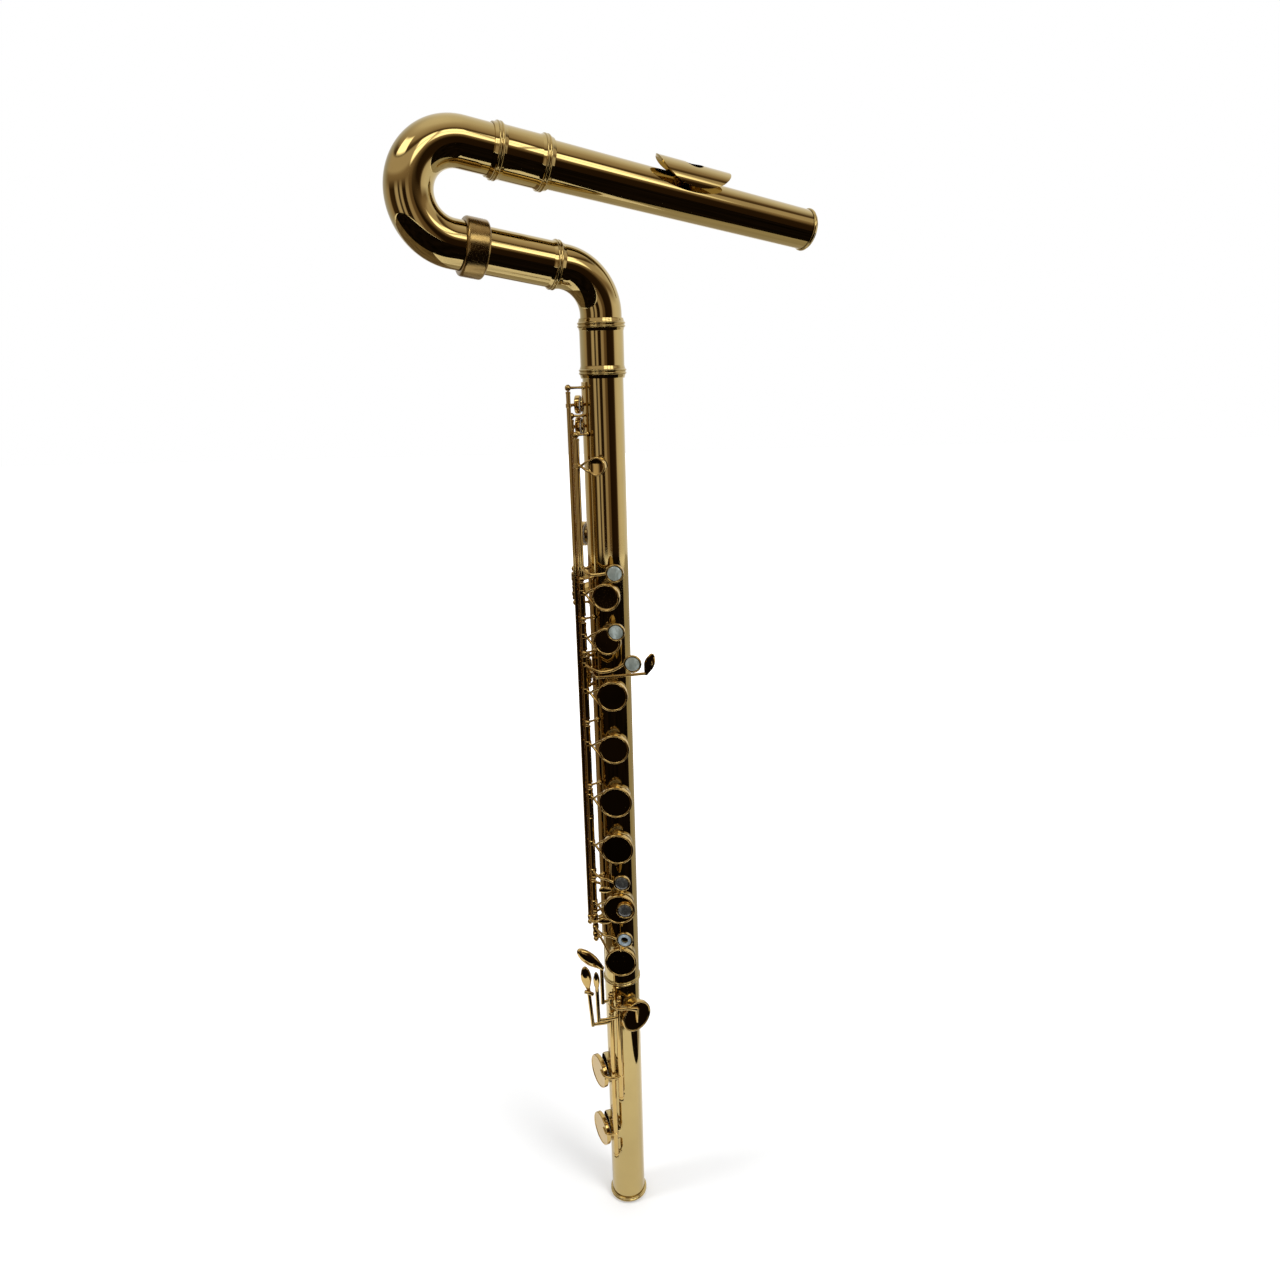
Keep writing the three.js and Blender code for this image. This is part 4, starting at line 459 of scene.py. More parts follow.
def finish_mesh(name, bm, body, finish, replaced=(), turn=0, bevel=0.0, smooth=40):
    """Turns a bmesh into a piece that rides on a body, turned about the body's hinge if it has to be."""
    bmesh.ops.recalc_face_normals(bm, faces=bm.faces)
    if turn:
        pivot = HINGES[body]
        about = Matrix.Translation(pivot) @ Matrix.Rotation(math.radians(turn), 4, "Z")
        bmesh.ops.transform(bm, matrix=about @ Matrix.Translation(-pivot), verts=bm.verts)
    mesh = bpy.data.meshes.new(name)
    bm.to_mesh(mesh)
    bm.free()
    for face in mesh.polygons:
        face.use_smooth = True
    mesh.set_sharp_from_angle(angle=math.radians(smooth))
    mesh.materials.append(material(finish))
    piece = bpy.data.objects.new(name, mesh)
    bpy.context.scene.collection.objects.link(piece)
    if bevel:
        modifier = piece.modifiers.new("Edge", "BEVEL")
        modifier.width = bevel
        modifier.segments = 2
        modifier.limit_method = "ANGLE"
        modifier.angle_limit = math.radians(30)
    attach(piece, body)
    if replaced:
        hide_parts(*replaced)
    return piece


def node_tree(name):
    """A new material's node tree with its shader."""
    material = bpy.data.materials.new(name)
    material.use_nodes = True
    tree = material.node_tree
    return material, tree, tree.nodes["Principled BSDF"]


def noise(tree, scale, detail=4, roughness=0.55, stretch=(1, 1, 1)):
    """Noise on object coordinates."""
    place = tree.nodes.new("ShaderNodeTexCoord")
    mapping = tree.nodes.new("ShaderNodeMapping")
    mapping.inputs["Scale"].default_value = stretch
    texture = tree.nodes.new("ShaderNodeTexNoise")
    texture.inputs["Scale"].default_value = scale
    texture.inputs["Detail"].default_value = detail
    texture.inputs["Roughness"].default_value = roughness
    tree.links.new(place.outputs["Object"], mapping.inputs["Vector"])
    tree.links.new(mapping.outputs["Vector"], texture.inputs["Vector"])
    return texture.outputs["Fac"]


def ramp(tree, value, *stops):
    """Colours or levels along a value."""
    node = tree.nodes.new("ShaderNodeValToRGB")
    tree.links.new(value, node.inputs["Fac"])
    elements = node.color_ramp.elements
    while len(elements) < len(stops):
        elements.new(0.5)
    for element, (place, colour) in zip(elements, stops):
        element.position = place
        element.color = (*colour, 1) if isinstance(colour, tuple) else (colour, colour, colour, 1)
    return node.outputs["Color"]


def bump(tree, value, shader, strength, distance):
    """Small relief from a value."""
    node = tree.nodes.new("ShaderNodeBump")
    node.inputs["Strength"].default_value = strength
    node.inputs["Distance"].default_value = distance
    tree.links.new(value, node.inputs["Height"])
    tree.links.new(node.outputs["Normal"], shader.inputs["Normal"])


def feed(tree, socket, value):
    """Links a socket to another's value, or gives it a plain one."""
    if isinstance(value, bpy.types.NodeSocket):
        tree.links.new(value, socket)
    else:
        socket.default_value = value


def worked(tree, kind, operation, values):
    """A new node that works on values in turn."""
    node = tree.nodes.new(kind)
    node.operation = operation
    for socket, value in zip(node.inputs, values):
        feed(tree, socket, value)
    return node


def maths(tree, operation, *values):
    """A number worked out from numbers."""
    return worked(tree, "ShaderNodeMath", operation, values).outputs["Value"]


def vector_maths(tree, operation, *values):
    """A vector worked out from vectors, or a vector's length."""
    node = worked(tree, "ShaderNodeVectorMath", operation, values)
    return node.outputs["Value" if operation == "LENGTH" else "Vector"]


def spread(tree, value, source=(0, 1), target=(0, 1)):
    """A value brought from one range to another and kept inside it."""
    node = tree.nodes.new("ShaderNodeMapRange")
    for name, number in zip(("From Min", "From Max", "To Min", "To Max"), source + target):
        node.inputs[name].default_value = number
    tree.links.new(value, node.inputs["Value"])
    return node.outputs["Result"]


def mixed(tree, share, under, over):
    """A colour between two, by the share of the second."""
    node = tree.nodes.new("ShaderNodeMix")
    node.data_type = "RGBA"
    for name, value in (("Factor", share), ("A", under), ("B", over)):
        feed(tree, node.inputs[name], value)
    return node.outputs["Result"]


def shade(colour, factor):
    """A colour made darker or lighter, with no channel over one."""
    return tuple(min(c * factor, 1) for c in colour)


def tones(tree, value, colour, *stops):
    """A colour's darker and lighter tones along a value."""
    return ramp(tree, value, *[(place, shade(colour, factor)) for place, factor in stops])


def dress(tree, shader, **values):
    """Gives the shader's inputs their values; an input's name has _ for its spaces."""
    for name, value in values.items():
        feed(tree, shader.inputs[name.replace("_", " ")], value)


def reflection_tint(level):
    """The painted reflections' colour at a level: the darker, the browner."""
    return level, level * (0.45 + 0.55 * level ** 0.5), level * (0.2 + 0.8 * level ** 0.75)


def gold_material(name, colour, roughness, fine=1.0):
    """Lacquered brass: a warm mirror with faint clouds, wiping marks and drawn waves."""
    material, tree, shader = node_tree(name)
    colours = tones(tree, noise(tree, 22 * fine, 5), colour, (0.3, 0.93), (0.55, 1), (0.75, 1.06))
    marks = noise(tree, 60 * fine, 6, 0.7, (1, 1, 0.15))
    levels = ramp(tree, marks, (0.35, roughness * 0.75), (0.6, roughness), (0.8, roughness * 1.6))
    dress(tree, shader, Metallic=1, Base_Color=colours, Roughness=levels)
    bump(tree, noise(tree, 28 * fine, 1, 0.5, (1, 1, 0.35)), shader, 0.12, 0.0006)
    return material


def satin_material(name, colour):
    """Satin brown brass, brushed round the collar."""
    material, tree, shader = node_tree(name)
    colours = tones(tree, noise(tree, 120, 6), colour, (0.3, 0.8), (0.6, 1), (0.8, 1.2))
    grain = noise(tree, 900, 4, 0.6)
    levels = ramp(tree, grain, (0.3, 0.18), (0.7, 0.28))
    dress(tree, shader, Metallic=1, Base_Color=colours, Roughness=levels)
    bump(tree, grain, shader, 0.12, 0.0001)
    return material


def skin_material(name, colour):
    """Pad skin over felt: matt, slightly creased."""
    material, tree, shader = node_tree(name)
    clouds = noise(tree, 260, 5)
    dress(tree, shader, Base_Color=tones(tree, clouds, colour, (0.3, 0.86), (0.65, 1)),
          Roughness=ramp(tree, clouds, (0.2, 0.6), (0.8, 0.8)))
    bump(tree, noise(tree, 700, 5), shader, 0.25, 0.0002)
    return material


def pearl_material(name, colour, veil):
    """Pearl: a smooth face with soft clouds under a clear surface."""
    material, tree, shader = node_tree(name)
    clouds = noise(tree, 170, 3, 0.5, (1, 1, 0.6))
    colours = ramp(tree, clouds, (0.3, shade(colour, 0.8)), (0.52, colour), (0.72, veil))
    levels = ramp(tree, clouds, (0.3, 0.16), (0.7, 0.3))
    dress(tree, shader, Base_Color=colours, Roughness=levels, Coat_Weight=0.8, Coat_Roughness=0.05)
    return material


def cork_material(name, colour):
    """Cork with darker grains."""
    material, tree, shader = node_tree(name)
    grains = noise(tree, 700, 6, 0.7)
    dress(tree, shader, Base_Color=tones(tree, grains, colour, (0.35, 0.45), (0.5, 1), (0.8, 1.2)),
          Roughness=ramp(tree, grains, (0.2, 0.75), (0.8, 0.95)))
    bump(tree, grains, shader, 0.4, 0.0003)
    return material


MATERIALS = {}


def material(name):
    """One of the object's finishes, made when it is first asked for."""
    if name not in MATERIALS:
        look = bpy.context.scene.flute_look
        gold, roughness = tuple(look.gold), look.gold_roughness
        # The keys' gold is the tube's gold made brighter and warmer, a painted highlight
        key_gold = tuple(level * tint for level, tint in zip(gold, KEY_GOLD_HIGHLIGHT_TINT))
        pale, dark = tuple(look.pale_pearl), tuple(look.dark_pearl)
        makers = {
            "gold": lambda: gold_material("gold_lacquer", gold, roughness),
            "key_gold": lambda: gold_material("key_gold_lacquer", key_gold, roughness * 1.1, 2.5),
            "steel": lambda: gold_material("hinge_steel", STEEL_COLOUR, 0.28, 3),
            "collar": lambda: satin_material("collar_satin", tuple(look.collar)),
            "pad": lambda: skin_material("pad_skin", tuple(look.pad)),
            "pale_pearl": lambda: pearl_material("pearl_pale", pale, PALE_VEIL),
            "dark_pearl": lambda: pearl_material("pearl_dark", dark, DARK_VEIL),
            "ring_pearl": lambda: pearl_material("pearl_ring", RING_PEARL, RING_VEIL),
            "cork": lambda: cork_material("stopper_cork", CORK_COLOUR),
        }
        MATERIALS[name] = makers[name]()
    return MATERIALS[name]


def bead(radius, low):
    """Points of a double ring on a tube, upwards from low."""
    points = []
    for step in range(17):
        share = step / 16
        hump = abs(math.sin(math.tau * share)) ** 0.6
        floor = 0.3 if 0.2 < share < 0.8 else 0
        points.append((radius + BEAD_RISE * max(hump, floor), low + share * BEAD_WIDTH))
    return points


def swell(radius, low):
    """Points of the wide ring at a sleeve's end: a soft swell under two narrow beads."""
    points = []
    for step in range(41):
        share = step / 40
        rise = 0.62 * math.sin(math.pi * share) ** 1.3
        for middle in (0.38, 0.62):
            away = (share - middle) / 0.085
            if abs(away) < 1:
                rise = max(rise, 0.6 + 0.4 * math.sqrt(1 - away * away))
        points.append((radius + SWELL_RISE * rise, low + share * SWELL_WIDTH))
    return points


def steps_between(low, high, count):
    """Heights between two, both left out."""
    return [low + (high - low) * (i + 1) / (count + 1) for i in range(count)]


def sleeve(bm, inner, outer, length, matrix, both=True):
    """A straight sleeve with a wide ring at its low end, or at both."""
    low = swell(outer, 0)
    high = swell(outer, length - SWELL_WIDTH) if both else [(outer, length)]
    lathe(bm, [(inner, 0)] + low + high + [(inner, length)], matrix)


def baked(name, bm, *tools):
    """A new bmesh: what booleans with (operation, bmesh) leave of the first."""
    def held(label, source):
        bmesh.ops.recalc_face_normals(source, faces=source.faces)
        mesh = bpy.data.meshes.new(label)
        source.to_mesh(mesh)
        source.free()
        thing = bpy.data.objects.new(label, mesh)
        bpy.context.scene.collection.objects.link(thing)
        return thing

    whole = held(name, bm)
    others = [held(f"{name}_tool_{i}", tool) for i, (_, tool) in enumerate(tools)]
    for (operation, _), other in zip(tools, others):
        modifier = whole.modifiers.new(operation, "BOOLEAN")
        modifier.operation = operation
        modifier.solver = "EXACT"
        modifier.object = other
    bpy.context.view_layer.update()
    graph = bpy.context.evaluated_depsgraph_get()
    result = bmesh.new()
    result.from_mesh(whole.evaluated_get(graph).to_mesh())
    for vert in result.verts:
        vert.tag = True
    for thing in [whole] + others:
        mesh = thing.data
        bpy.data.objects.remove(thing)
        bpy.data.meshes.remove(mesh)
    return result


def drilled(name, outline, names):
    """A tube with a drawn chimney and a hole for each key's tone hole."""
    outside = bmesh.new()
    lathe(outside, [(0, outline[0][1])] + outline + [(0, outline[-1][1])])
    rods, holes = bmesh.new(), bmesh.new()
    for key in names:
        face, z, cup_r, rise = HOLES[key]
        outer = cup_r - CUP_OVERHANG
        top = TUBE_R + rise
        matrix = basis((0, 0, z), facing(face))
        edge = CHIMNEY_WALL / 2
        lathe(rods, [(0, 0), (outer, 0), (outer, top - edge), (outer - edge / 3, top - edge / 3),
                     (outer - edge, top), (0, top)], matrix, CUP_STEPS)
        inner, past = outer - CHIMNEY_WALL, top + 0.002
        lathe(holes, [(0, 0), (inner, 0), (inner, past), (0, past)], matrix, CUP_STEPS)
    bore = bmesh.new()
    low, high = outline[0][1] - 0.01, outline[-1][1] + 0.01
    inner = outline[0][0] - TUBE_WALL
    lathe(bore, [(0, low), (inner, low), (inner, high), (0, high)])
    return baked(name, outside, ("UNION", rods), ("DIFFERENCE", bore), ("DIFFERENCE", holes))


def weighted(piece):
    """Shading normals led by the large faces."""
    modifier = piece.modifiers.new("Normals", "WEIGHTED_NORMAL")
    modifier.keep_sharp = True
    modifier.weight = 100


class FLUTE_OT_body_tubes(bpy.types.Operator):
    """Models the body tube, the foot tube and its end ring with their tone holes"""

    bl_idname = "flute.body_tubes"
    bl_label = "Body tubes"

    def execute(self, context):
        shoulder = FOOT_TOP + GAP
        tenon_r = TUBE_R - TUBE_WALL - GAP
        body = [(tenon_r, shoulder - TENON_LENGTH), (tenon_r, shoulder), (TUBE_R, shoulder)]
        body += [(TUBE_R, z) for z in steps_between(shoulder, BODY_TOP, 48)] + [(TUBE_R, BODY_TOP)]
        names = [key for key in HOLES if key not in FOOT_KEYS]
        made = drilled("body_tube_skin", body, names)
        weighted(finish_mesh("body_tube_skin", made, "body", "gold", ["body_tube"]))

        foot = [(TUBE_R, 0)] + [(TUBE_R, z) for z in steps_between(0, FOOT_TOP - BEAD_WIDTH, 22)]
        foot += bead(TUBE_R, FOOT_TOP - BEAD_WIDTH)
        made = drilled("foot_tube_skin", foot, FOOT_KEYS)
        for key, z in POSTS["foot_tube"]:
            post(made, key, z, TUBE_R - TUBE_WALL / 2)
        weighted(finish_mesh("foot_tube_skin", made, "foot", "gold", ["foot_tube"]))

        ring = bmesh.new()
        inner = TUBE_R + GAP / 3
        lathe(ring, [(inner, 0)] + bead(TUBE_R + SLEEVE_WALL, 0) + [(inner, BEAD_WIDTH)])
        finish_mesh("foot_end_ring_skin", ring, "foot", "gold", ["foot_end_ring"])
        return {"FINISHED"}


def steel_radius(key):
    """The radius of the steel that a key turns on."""
    return TRILL_STEEL_R if key.startswith("trill") else STEEL_R


def line_at(key):
    """The place of a key's hinge line at height zero."""
    return Vector((HINGES[key].x, HINGES[key].y, 0))


def post(bm, key, z, start):
    """A post with its flared foot, its stem and its ball bored for the steel."""
    line = line_at(key)
    bore = steel_radius(key) + GAP / 2
    top = line.length - (bore + BALL_R) / 2
    stem = [(0, start), (0.0021, start), (0.0021, start + 0.0005), (0.0016, start + 0.0009),
            (0.0011, start + 0.0018), (0.0009, (start + top) / 2), (0.0011, top), (0, top)]
    lathe(bm, stem, basis((0, 0, z), line), ROD_STEPS)
    ball = arc((0, 0), (BALL_R, BALL_R * 1.04), -64.8, 64.8, 10)
    place = Matrix.Translation((line.x, line.y, z))
    lathe(bm, [(bore, -BALL_R)] + ball + [(bore, BALL_R)], place, ROD_STEPS)


def strap(bm, face, low, high):
    """A rib: a strap bent to the tube."""
    half = math.asin(RIB_WIDTH / 2 / TUBE_R)
    turn = Matrix.Rotation(math.radians(-face) - half, 4, "Z")
    points = bevelled(TUBE_R + GAP / 2, TUBE_R + RIB_THICKNESS, low, high, 0.0004)
    section = bm.faces.new([bm.verts.new(turn @ Vector((0, -r, h))) for r, h in points])
    bmesh.ops.spin(bm, geom=[section], cent=(0, 0, 0), axis=(0, 0, 1), dvec=(0, 0, 0),
                   angle=half * 2, steps=10, use_duplicate=False)
    for vert in bm.verts:
        vert.tag = True


class FLUTE_OT_ribs(bpy.types.Operator):
    """Models the ribs with their posts"""

    bl_idname = "flute.ribs"
    bl_label = "Ribs and posts"

    def execute(self, context):
        sizes = {
            "main_rib": (64, 0.2963, 0.7855, "body"),
            "thumb_rib": (92, 0.6055, 0.642, "body"),
            "foot_rib": (17.5, 0.233, 0.2475, "foot"),
        }
        for name, (face, low, high, body) in sizes.items():
            bm = bmesh.new()
            strap(bm, face, low, high)
            for key, z in POSTS[name]:
                post(bm, key, z, TUBE_R + 0.0008)
            finish_mesh(f"{name}_skin", bm, body, "key_gold", [name])
        return {"FINISHED"}


def neck_frame():
    """The turned neck's axis, upwards from the body's foot."""
    return Matrix.Rotation(HEAD_SWIVEL, 4, "Z")


def level_frame():
    """Where the elbow ends, its Z along the neck's nearly level run."""
    theta = math.pi / 2 - HEAD_TILT
    start = Vector((-ELBOW_R * (1 - math.cos(theta)), 0, ELBOW_START + ELBOW_R * math.sin(theta)))
    return neck_frame() @ Matrix.Translation(start) @ Matrix.Rotation(-theta, 4, "Y")


def slide_frame():
    """Where the U-bend leaves the receiver, its -X towards the bend's other arm."""
    reach_out = RECEIVER_START + RECEIVER_LENGTH + GAP
    return level_frame() @ Matrix.Translation((0, 0, reach_out)) @ Matrix.Rotation(math.pi, 4, "Z")


def head_frame():
    """The head's axis, from the U-bend's exit towards the crown."""
    exit_place = Matrix.Translation((-2 * BEND_R, 0, BEND_LEAD))
    return slide_frame() @ exit_place @ Matrix.Rotation(math.pi, 4, "Y")


def blowing_frame():
    """The head's axis, turned so that its X goes out through the embouchure."""
    return head_frame() @ Matrix.Rotation(PLATE_ROLL, 4, "Z")


def head_radius(along):
    """The head tube's outside, narrowing from its socket to the crown."""
    return HEAD_START_R + (HEAD_END_R - HEAD_START_R) * (along - HEAD_START) / (HEAD_END - HEAD_START)


def bent(frame_matrix, lead, radius, turn, exit_length, tube_r, start=0.0):
    """Matrices of a tube's rings along a straight lead, a bend towards -X and a straight exit."""
    places = [(0, start, 0), (0, lead, 0)]
    for i in range(1, BEND_STEPS + 1):
        angle = turn * i / BEND_STEPS
        places.append((-radius * (1 - math.cos(angle)), lead + radius * math.sin(angle), angle))
    x, z, angle = places[-1]
    places.append((x - exit_length * math.sin(angle), z + exit_length * math.cos(angle), angle))
    size = Matrix.Diagonal((tube_r, tube_r, 1, 1))
    return [frame_matrix @ Matrix.Translation((x, 0, z)) @ Matrix.Rotation(-angle, 4, "Y") @ size
            for x, z, angle in places]


class FLUTE_OT_neck(bpy.types.Operator):
    """Models the barrel, the elbow, the slide's receiver and its collar"""

    bl_idname = "flute.neck"
    bl_label = "Barrel and neck"

    def execute(self, context):
        bm = bmesh.new()
        sleeve(bm, TUBE_R + GAP / 2, TUBE_R + GAP + SLEEVE_WALL, BARREL_TOP - BARREL_LOW,
               Matrix.Translation((0, 0, BARREL_LOW)))
        finish_mesh("barrel_skin", bm, "body", "gold", ["barrel"])

        bm = bmesh.new()
        rings = bent(neck_frame(), ELBOW_START, ELBOW_R, math.pi / 2 - HEAD_TILT,
                     RECEIVER_START + ELBOW_TENON, TUBE_R, BODY_TOP + GAP)
        sweep(bm, rings, TUBE_STEPS, 1 - TUBE_WALL / TUBE_R)
        finish_mesh("elbow_skin", bm, "neck", "gold", ["elbow"])

        bm = bmesh.new()
        at = level_frame() @ Matrix.Translation((0, 0, RECEIVER_START))
        sleeve(bm, TUBE_R + GAP / 3, RECEIVER_R, RECEIVER_LENGTH, at, both=False)
        finish_mesh("receiver_skin", bm, "neck", "gold", ["receiver"])
        self.collar()
        return {"FINISHED"}

    def collar(self):
        """The satin collar at the receiver's open end, rounded at both of its own."""
        inner, edge = RECEIVER_R + GAP / 2, 0.0022
        profile = [(inner, 0)]
        profile += arc((COLLAR_R - edge, edge), (edge, edge), -90, 0, 6)
        profile += arc((COLLAR_R - edge, COLLAR_LENGTH - edge), (edge, edge), 0, 90, 6)
        profile.append((inner, COLLAR_LENGTH))
        low = RECEIVER_START + RECEIVER_LENGTH - COLLAR_LENGTH
        bm = bmesh.new()
        lathe(bm, profile, level_frame() @ Matrix.Translation((0, 0, low)))
        finish_mesh("slide_collar_skin", bm, "neck", "collar", ["slide_collar"])


class FLUTE_OT_head(bpy.types.Operator):
    """Models the U-bend, the socket, the head tube, the lip plate and the crown"""

    bl_idname = "flute.head"
    bl_label = "U-bend and head"

    def execute(self, context):
        bm = bmesh.new()
        rings = bent(slide_frame(), BEND_LEAD, BEND_R, math.pi, BEND_EXIT, BEND_TUBE_R)
        sweep(bm, rings, TUBE_STEPS, 1 - TUBE_WALL / BEND_TUBE_R)
        outer, low, high = SLIDE_TENON_R, -SLIDE_TENON, 0.0006
        inner = outer - TUBE_WALL
        lathe(bm, [(inner, low), (outer, low), (outer, high), (inner, high)], slide_frame())
        finish_mesh("u_bend_skin", bm, "slide", "gold", ["u_bend"])

        bm = bmesh.new()
        at = head_frame() @ Matrix.Translation((0, 0, SOCKET_START))
        sleeve(bm, BEND_TUBE_R + GAP / 3, SOCKET_R, SOCKET_LENGTH, at)
        finish_mesh("head_socket_skin", bm, "slide", "gold", ["head_socket"])

        self.head_tube()
        self.lip_plate()
        self.riser()
        self.crown()
        return {"FINISHED"}

    def head_tube(self):
        """The tapering tube, with the hole that the riser stands round."""
        heights = [HEAD_START] + steps_between(HEAD_START, HEAD_END, 24) + [HEAD_END]
        outline = [(head_radius(z), z) for z in heights]
        outside, bore = bmesh.new(), bmesh.new()
        lathe(outside, [(r - TUBE_WALL, z) for r, z in outline[::-1]] + outline, blowing_frame())
        sweep(bore, oval_rings(blowing_frame(), 0, 0.03, 0.0008), CUP_STEPS)
        made = baked("head_tube_skin", outside, ("DIFFERENCE", bore))
        weighted(finish_mesh("head_tube_skin", made, "mouthpiece", "gold", ["head_tube"]))

    def lip_plate(self):
        """The saddle-shaped plate with the embouchure hole through it."""
        plate = bmesh.new()
        bmesh.ops.create_grid(plate, x_segments=56, y_segments=40, size=1)
        for vert in plate.verts:
            u, v = vert.co.x, vert.co.y
            along = u * math.sqrt(1 - v * v / 2) * PLATE_LENGTH / 2
            share = v * math.sqrt(1 - u * u / 2)
            rise = plate_level(share)
            angle = share * PLATE_ARC
            vert.co = (rise * math.cos(angle), rise * math.sin(angle), BLOW_HOLE + along)
        bmesh.ops.recalc_face_normals(plate, faces=plate.faces)
        bmesh.ops.solidify(plate, geom=plate.faces[:], thickness=-PLATE_WALL)
        bmesh.ops.transform(plate, matrix=blowing_frame(), verts=plate.verts)
        bore = bmesh.new()
        sweep(bore, oval_rings(blowing_frame(), 0, 0.04, 0), CUP_STEPS)
        made = baked("lip_plate_skin", plate, ("DIFFERENCE", bore))
        finish_mesh("lip_plate_skin", made, "mouthpiece", "gold", ["lip_plate"], bevel=0.0004)

    def riser(self):
        """The short oval wall between the head tube and the plate."""
        tube_r = head_radius(BLOW_HOLE)
        wall, bore, tube = bmesh.new(), bmesh.new(), bmesh.new()
        sweep(wall, oval_rings(Matrix(), tube_r * 0.8, plate_level(0), 0.0016), CUP_STEPS)
        for vert in wall.verts:
            if vert.co.x > tube_r:
                angle = math.asin(vert.co.y / plate_level(0))
                vert.co.x = plate_level(angle / PLATE_ARC) * math.cos(angle) + GAP / 2
        bmesh.ops.transform(wall, matrix=blowing_frame(), verts=wall.verts)
        sweep(bore, oval_rings(blowing_frame(), 0, 0.04, 0), CUP_STEPS)
        outer, low, high = tube_r + 0.00025, BLOW_HOLE - 0.035, BLOW_HOLE + 0.035
        lathe(tube, [(0, low), (outer, low), (outer, high), (0, high)], blowing_frame())
        made = baked("riser_skin", wall, ("DIFFERENCE", tube), ("DIFFERENCE", bore))
        finish_mesh("riser_skin", made, "mouthpiece", "gold", ["riser"])

    def crown(self):
        """The crown with its rounded bead and the plug that goes into the head tube."""
        face, cap = HEAD_END + GAP, HEAD_END_R + 0.0008
        plug = HEAD_END_R - TUBE_WALL - GAP
        profile = [(0, face - CROWN_PLUG), (plug, face - CROWN_PLUG), (plug, face), (cap - 0.0004, face)]
        profile += arc((cap - 0.0004, face + 0.0016), (0.0007, 0.0012), -90, 90, 8)
        profile += [(cap - 0.0012, face + 0.0032), (cap - 0.0014, face + 0.0042),
                    (cap - 0.0024, face + 0.005), (0, face + 0.0054)]
        bm = bmesh.new()
        lathe(bm, profile, blowing_frame())
        finish_mesh("crown_skin", bm, "crown", "gold", ["crown"])


def plate_level(share):
    """How far out the plate's face is, at a share of the way down either side."""
    return head_radius(BLOW_HOLE) + PLATE_RISE - PLATE_DROP * share ** 2


def oval_rings(frame_matrix, low, high, extra):
    """The embouchure's oval at two levels out from the head's axis."""
    turn = Matrix.Rotation(math.pi / 2, 4, "Y")
    size = Matrix.Diagonal((BLOW_LENGTH / 2 + extra, BLOW_WIDTH / 2 + extra, 1, 1))
    return [frame_matrix @ Matrix.Translation((level, 0, BLOW_HOLE)) @ turn @ size
            for level in (low, high)]


def hinge_radius(key):
    """The radius of a key's hinge tube."""
    return TRILL_HINGE_R if key.startswith("trill") else HINGE_R


def rim_level(key):
    """How far a tone hole's rim stands from the tube's axis."""
    return TUBE_R + HOLES[key][3]


def cup_bottom(key):
    """How far a closed cup's lower edge is from the tube's axis."""
    return rim_level(key) + GAP + PAD_PROUD


def rim_point(key, turn, inset, level):
    """A place on a cup's rim, turned from the side that faces the rods."""
    face, z, cup_r, _ = HOLES[key]
    radius = cup_r - inset
    angle = math.radians(turn)
    return across(face, -radius * math.cos(angle), cup_bottom(key) + level, z + radius * math.sin(angle))


def hinge_tube(bm, key):
    """A key's hinge tube with a thin collar turned at each end."""
    low, high = TUBES[key]
    r, bore = hinge_radius(key), steel_radius(key) + GAP / 2
    out, collar = r + 0.00022, 0.0018
    section = bevelled(bore, out, low, high, 0.0003)
    waist = [(out, low + collar), (r, low + collar), (r, high - collar), (out, high - collar)]
    lathe(bm, section[:3] + waist + section[3:], Matrix.Translation(line_at(key)), ROD_STEPS)


def root_ring(bm, key, z, width):
    """The ring that an arm is soldered round its hinge tube with."""
    r = hinge_radius(key)
    section = bevelled(r - 0.0002, r + 0.0005, z - width / 2, z + width / 2, 0.0004)
    lathe(bm, section, Matrix.Translation(line_at(key)), ROD_STEPS)


def cup(bm, key):
    """A key cup: a turned shell with a raised ring and a gently hollow face."""
    face, z, r, _ = HOLES[key]
    low = cup_bottom(key)
    top = low + CUP_HEIGHT
    inner, ceiling = r - CUP_WALL, low - PAD_PROUD + PAD_THICKNESS + GAP / 2
    lip, half = 0.0002, CUP_RING / 2
    profile = [(0, ceiling), (inner, ceiling), (inner, low + lip), (inner + lip, low),
               (r - lip, low), (r, low + lip)]
    profile += arc((r - half, top - half), (half, half), 0, 155, 9)
    edge = profile[-1][0] - 0.0001
    bowl = CUP_BOWL if r > SMALL_CUP_R else SMALL_CUP_BOWL
    for i in range(9):
        share = 1 - i / 8
        profile.append((edge * share, top - CUP_DISH - bowl * (1 - share * share)))
    lathe(bm, profile, basis((0, 0, z), facing(face)), CUP_STEPS)


def pad_piece(key):
    """A pad: skin drawn over felt, with the ring that its rim has pressed."""
    face, z, cup_r, _ = HOLES[key]
    r, low, edge = cup_r - CUP_WALL - 0.0001, rim_level(key) + GAP, 0.0005
    seat = cup_r - CUP_OVERHANG - CHIMNEY_WALL / 2
    pressed, round_low = low + 0.00018, low + 0.0001
    profile = [(0, low), (seat - 0.0009, low), (seat - 0.0004, pressed), (seat + 0.0004, pressed),
               (seat + 0.0007, low)]
    profile += arc((r - edge, round_low + edge), (edge, edge), -90, 0, 5)
    profile += [(r, low + PAD_THICKNESS), (0, low + PAD_THICKNESS)]
    bm = bmesh.new()
    lathe(bm, profile, basis((0, 0, z), facing(face)), CUP_STEPS)
    replaced = [f"{key}_pad"] if key in PADDED else []
    finish_mesh(f"{key}_pad_skin", bm, key, "pad", replaced, REST.get(key, 0))


